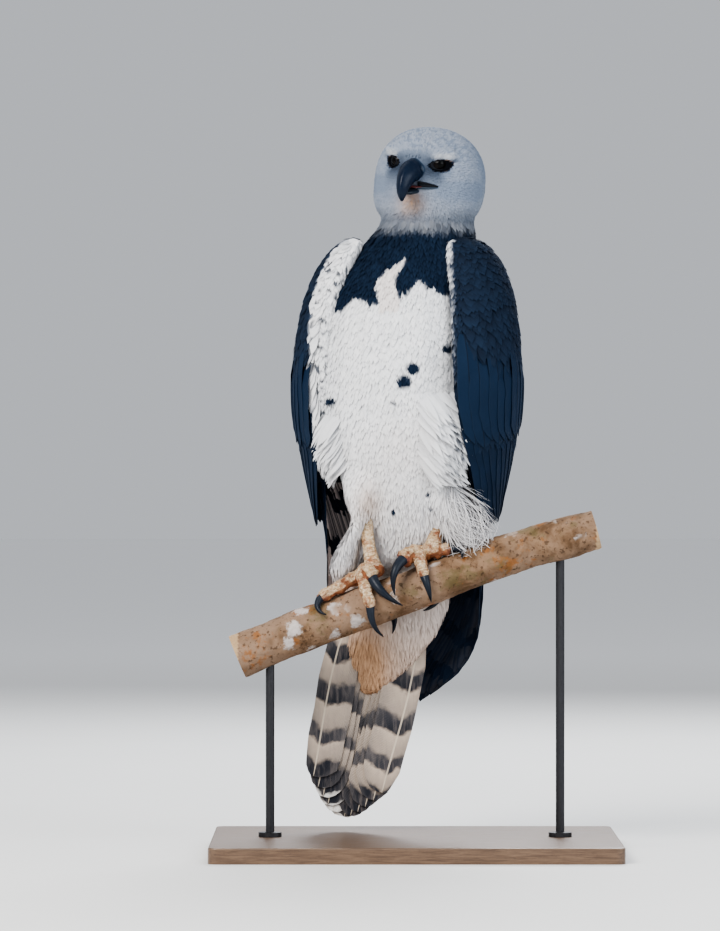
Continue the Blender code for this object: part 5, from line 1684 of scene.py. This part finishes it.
def makeFoot(word):
    bm = bmesh.new()
    shank = curvePoints(feet["shanks"][word], 24)
    t = np.linspace(0, 1, 24)
    radii = feet["shankRadius"] * (0.90 + 0.10 * np.cos(t * 6) + 0.10 * bump(t, 0.92, 0.12))
    rings, _, shankUp = tubeRings(shank, radii, frontwards, 24)
    loft(bm, list(rings))
    ball = bmesh.ops.create_icosphere(bm, subdivisions=4, radius=feet["ballRadius"])["verts"]
    for vertex in ball:
        vertex.co = Vector(shank[-1]) + vertex.co * Vector((1, 1, 0.82))
    share = np.linspace(0, 1, 40)
    joints = bump(share, 0.20, 0.08) + bump(share, 0.52, 0.08) + 1.1 * bump(share, 0.84, 0.07)
    toes = []
    for name, toe in feet["toes"][word].items():
        line = toeLine(toe, len(share))
        radius = feet["toeRadius"] * (1.10 - 0.24 * share) * toe[3] ** 0.4
        radius = radius * (0.93 + 0.15 * joints) * (1 - 0.22 * smoothStep(0.90, 1.0, share))
        if name == "inner":  # swollen before the great claw
            radius = radius * (1 + 0.30 * bump(share, 0.78, 0.24))
        rings, ahead, up = tubeRings(line, radius, perchUp(line), 28, 0.92 + 0.26 * joints)
        cuff = [line[-1] + (rings[-1] - line[-1]) * size + ahead[-1] * reach
                for size, reach in ((0.93, 0.0009), (0.80, 0.0017), (0.55, 0.0022))]
        loft(bm, list(rings) + cuff)
        toes.append((name, line, radius, up))
    mesh = remeshed(f"foot_skin_{word}", bm, feet["voxel"], 6)
    points, normals = arraysOf(mesh)
    best = np.full(len(points), 9.0)
    lower, tip = np.zeros(len(points)), np.zeros(len(points))
    for name, line, radius, up in toes:
        gap = np.linalg.norm(points[:, None] - line, axis=-1)
        near = gap.argmin(1)
        closer = gap.min(1) < best
        best = np.minimum(best, gap.min(1))
        height = ((points - line[near]) * up[near]).sum(-1) / radius[near]
        place = share[near]
        # rust on the inner toe's swollen ball, and painted shade in the creases at the toe joints
        rustAndCreaseShade = smoothStep(0.35, 0.75, place) * (name == "inner")
        rustAndCreaseShade = rustAndCreaseShade + 0.35 * bump(place, 0.36, 0.07) + 0.35 * bump(place, 0.68, 0.06)
        # lower: painted shade on each toe's underside, together with that rust
        lower = np.where(closer, np.maximum(smoothStep(0.35, -0.45, height), rustAndCreaseShade), lower)
        tip = np.where(closer, place, tip)
    onShank = np.linalg.norm(points[:, None] - shank[:18], axis=-1).min(1) < best
    # painted shade on the back of each shank
    lower = np.where(onShank, smoothStep(-0.2, 0.6, normals[:, 1]) * 0.5, lower)
    tip = np.where(onShank, 0, tip)
    pebbles = np.array([noise.voronoi(Vector(p))[0][0] for p in (points / 0.0030).tolist()])
    raised = 0.0011 * (0.42 - pebbles) + 0.0007 * lumps(points, 0.008)
    setPoints(mesh, points + normals * raised[:, None])
    setAttribute(mesh, "vane", stacked(lower, tip, 0.0))
    finished(f"foot_skin_{word}", mesh, footSkin, (f"foot_{word}",))
    runs = [(line, radius, up, scutes["perToe"], 0.16) for _, line, radius, up in toes]
    makeScutes(word, runs + [(shank, radii, shankUp, scutes["onShank"], 0.35)])
    for name, toe in feet["toes"][word].items():
        makeClaw(word, name, toe)


scutes = {"perToe": 11, "onShank": 9, "lift": 0.0016, "wrap": 50, "last": 0.95}


def makeScutes(word, runs):  # overlapping plates along the upper side of each run
    bm = bmesh.new()
    for line, radius, up, plates, first in runs:
        places = np.linspace(0, 1, len(line))

        def at(values, place):
            return np.array([np.interp(place, places, column) for column in values.T])

        for k in range(plates):
            start = first + (scutes["last"] - first) * k / plates
            length = (scutes["last"] - first) / plates * 1.12 * (0.92 + 0.16 * draw.random())
            rings = []
            for share in (0.0, 0.12, 0.5, 0.88, 1.0):
                place = min(start + length * share, 0.985)
                narrow, low = (0.72, 0.55) if share in (0.0, 1.0) else (1.0, 1.0)
                middle = at(line, place)
                ahead = unit(at(line, min(place + 0.02, 1)) - middle)
                raised = alongSurface(at(up, place), ahead)
                side = np.cross(ahead, raised)
                reach = np.interp(place, places, radius)
                wrap = math.radians(scutes["wrap"]) * narrow
                turn = np.linspace(-wrap, wrap, 9)[:, None]
                over = 0.0002 + scutes["lift"] * (0.25 + 0.75 * share) * (1 - 0.45 * (turn / wrap) ** 2)
                arc = side * np.sin(turn) + raised * np.cos(turn)
                inner = middle + arc * (reach - 0.0012)
                rings.append(np.concatenate([middle + arc * (reach + over * low), inner[::-1]]))
            loft(bm, rings)
    mesh = toMesh(f"scutes_{word}", bm)
    setAttribute(mesh, "vane", (0.12, 0.2, 1.0))
    finished(f"scutes_{word}", mesh, footSkin, angle=50)


def makeClaw(word, name, toe):
    path = toeLine(toe, 13)
    ahead = unit(path[-1] - path[-3])
    base, tip = path[-1] - ahead * feet["clawRoot"], path[-1] + np.array(toe[1])
    chord = tip - base
    bow = unit(ahead - chord * (ahead @ chord) / (chord @ chord))
    t = np.linspace(0, 1, 30)
    line = base + chord * t[:, None] + bow * (toe[2] * 4 * t * (1 - t))[:, None]
    radii = feet["clawRadius"] * toe[3] * (1 - t) ** feet["clawTaper"] + feet["clawTip"]
    bm = bmesh.new()
    loft(bm, list(tubeRings(line, radii, bow, 24, feet["clawFlat"])[0]))
    mesh = toMesh(f"talon_{word}_{name}", bm)
    points = arraysOf(mesh)[0]
    along = np.clip(((points - base) @ chord) / (chord @ chord), 0, 1)
    setAttribute(mesh, "vane", stacked(0.25 + 0.75 * along, 0, 0))
    finished(f"talon_{word}_{name}", mesh, horn, (f"claw_{word}_{name}",), 60)


footSkin = makeFootSkin()
makeFoot("right")
makeFoot("left")
print("feet made")


# Stand keeps its solids
stainedWood, darkSteel = makeStainedWood(), makeSteel()
standFinishes = {"stand_base": stainedWood, "stand_rod_left": darkSteel, "stand_rod_right": darkSteel}
for node, material in standFinishes.items():
    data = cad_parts[node].data
    data.materials.clear()
    data.materials.append(material)


# Floor, light and camera

studio = {
    "floor": 30.0, "world": (0.80, 0.83, 0.88), "worldStrength": 0.55,
    "lights": (  # place, size, power, colour
        ((-2.2, -3.2, 3.2), 2.2, 260.0, (1.0, 0.97, 0.93)),
        ((2.8, -2.4, 1.8), 2.4, 80.0, (0.90, 0.95, 1.0)),
        ((0.6, 3.0, 2.8), 2.0, 130.0, (0.95, 0.97, 1.0)),
    ),
    "aim": (-0.01, 0.0, 0.56), "look": "AgX - Medium High Contrast", "exposure": 0.12,
}
camera = {"place": (-0.076, -7.0, 0.534), "height": 1.284, "sensor": 36.0, "far": 100.0}


def makeStudio():
    bm = bmesh.new()
    bmesh.ops.create_grid(bm, x_segments=1, y_segments=1, size=studio["floor"])
    floor = bpy.data.objects.new("floor", toMesh("floor", bm))
    if floor.data.polygons[0].normal.z < 0:
        floor.data.flip_normals()
    floor.data.materials.append(makeFloor())
    bpy.context.scene.collection.objects.link(floor)
    world = bpy.data.worlds.new("studio")
    world.use_nodes = True
    sky = world.node_tree.nodes["Background"]
    sky.inputs["Color"].default_value = (*studio["world"], 1.0)
    sky.inputs["Strength"].default_value = studio["worldStrength"]
    bpy.context.scene.world = world
    for k, (place, size, power, colour) in enumerate(studio["lights"]):
        light = bpy.data.lights.new(f"softbox_{k}", "AREA")
        light.size, light.energy, light.color = size, power, colour
        lamp = bpy.data.objects.new(f"softbox_{k}", light)
        lamp.location = place
        lamp.rotation_euler = (Vector(studio["aim"]) - Vector(place)).to_track_quat("-Z", "Y").to_euler()
        bpy.context.scene.collection.objects.link(lamp)
    bpy.context.scene.view_settings.look = studio["look"]
    bpy.context.scene.view_settings.exposure = studio["exposure"]
    lens = bpy.data.cameras.new("camera")
    lens.sensor_fit = "VERTICAL"
    lens.sensor_height = camera["sensor"]
    lens.lens = camera["sensor"] * -camera["place"][1] / camera["height"]
    lens.clip_end = camera["far"]
    viewer = bpy.data.objects.new("camera", lens)
    viewer.location = camera["place"]
    viewer.rotation_euler = (math.radians(90), 0, 0)
    bpy.context.scene.collection.objects.link(viewer)
    bpy.context.scene.camera = viewer


makeStudio()
bpy.context.view_layer.update()
print("scene made")
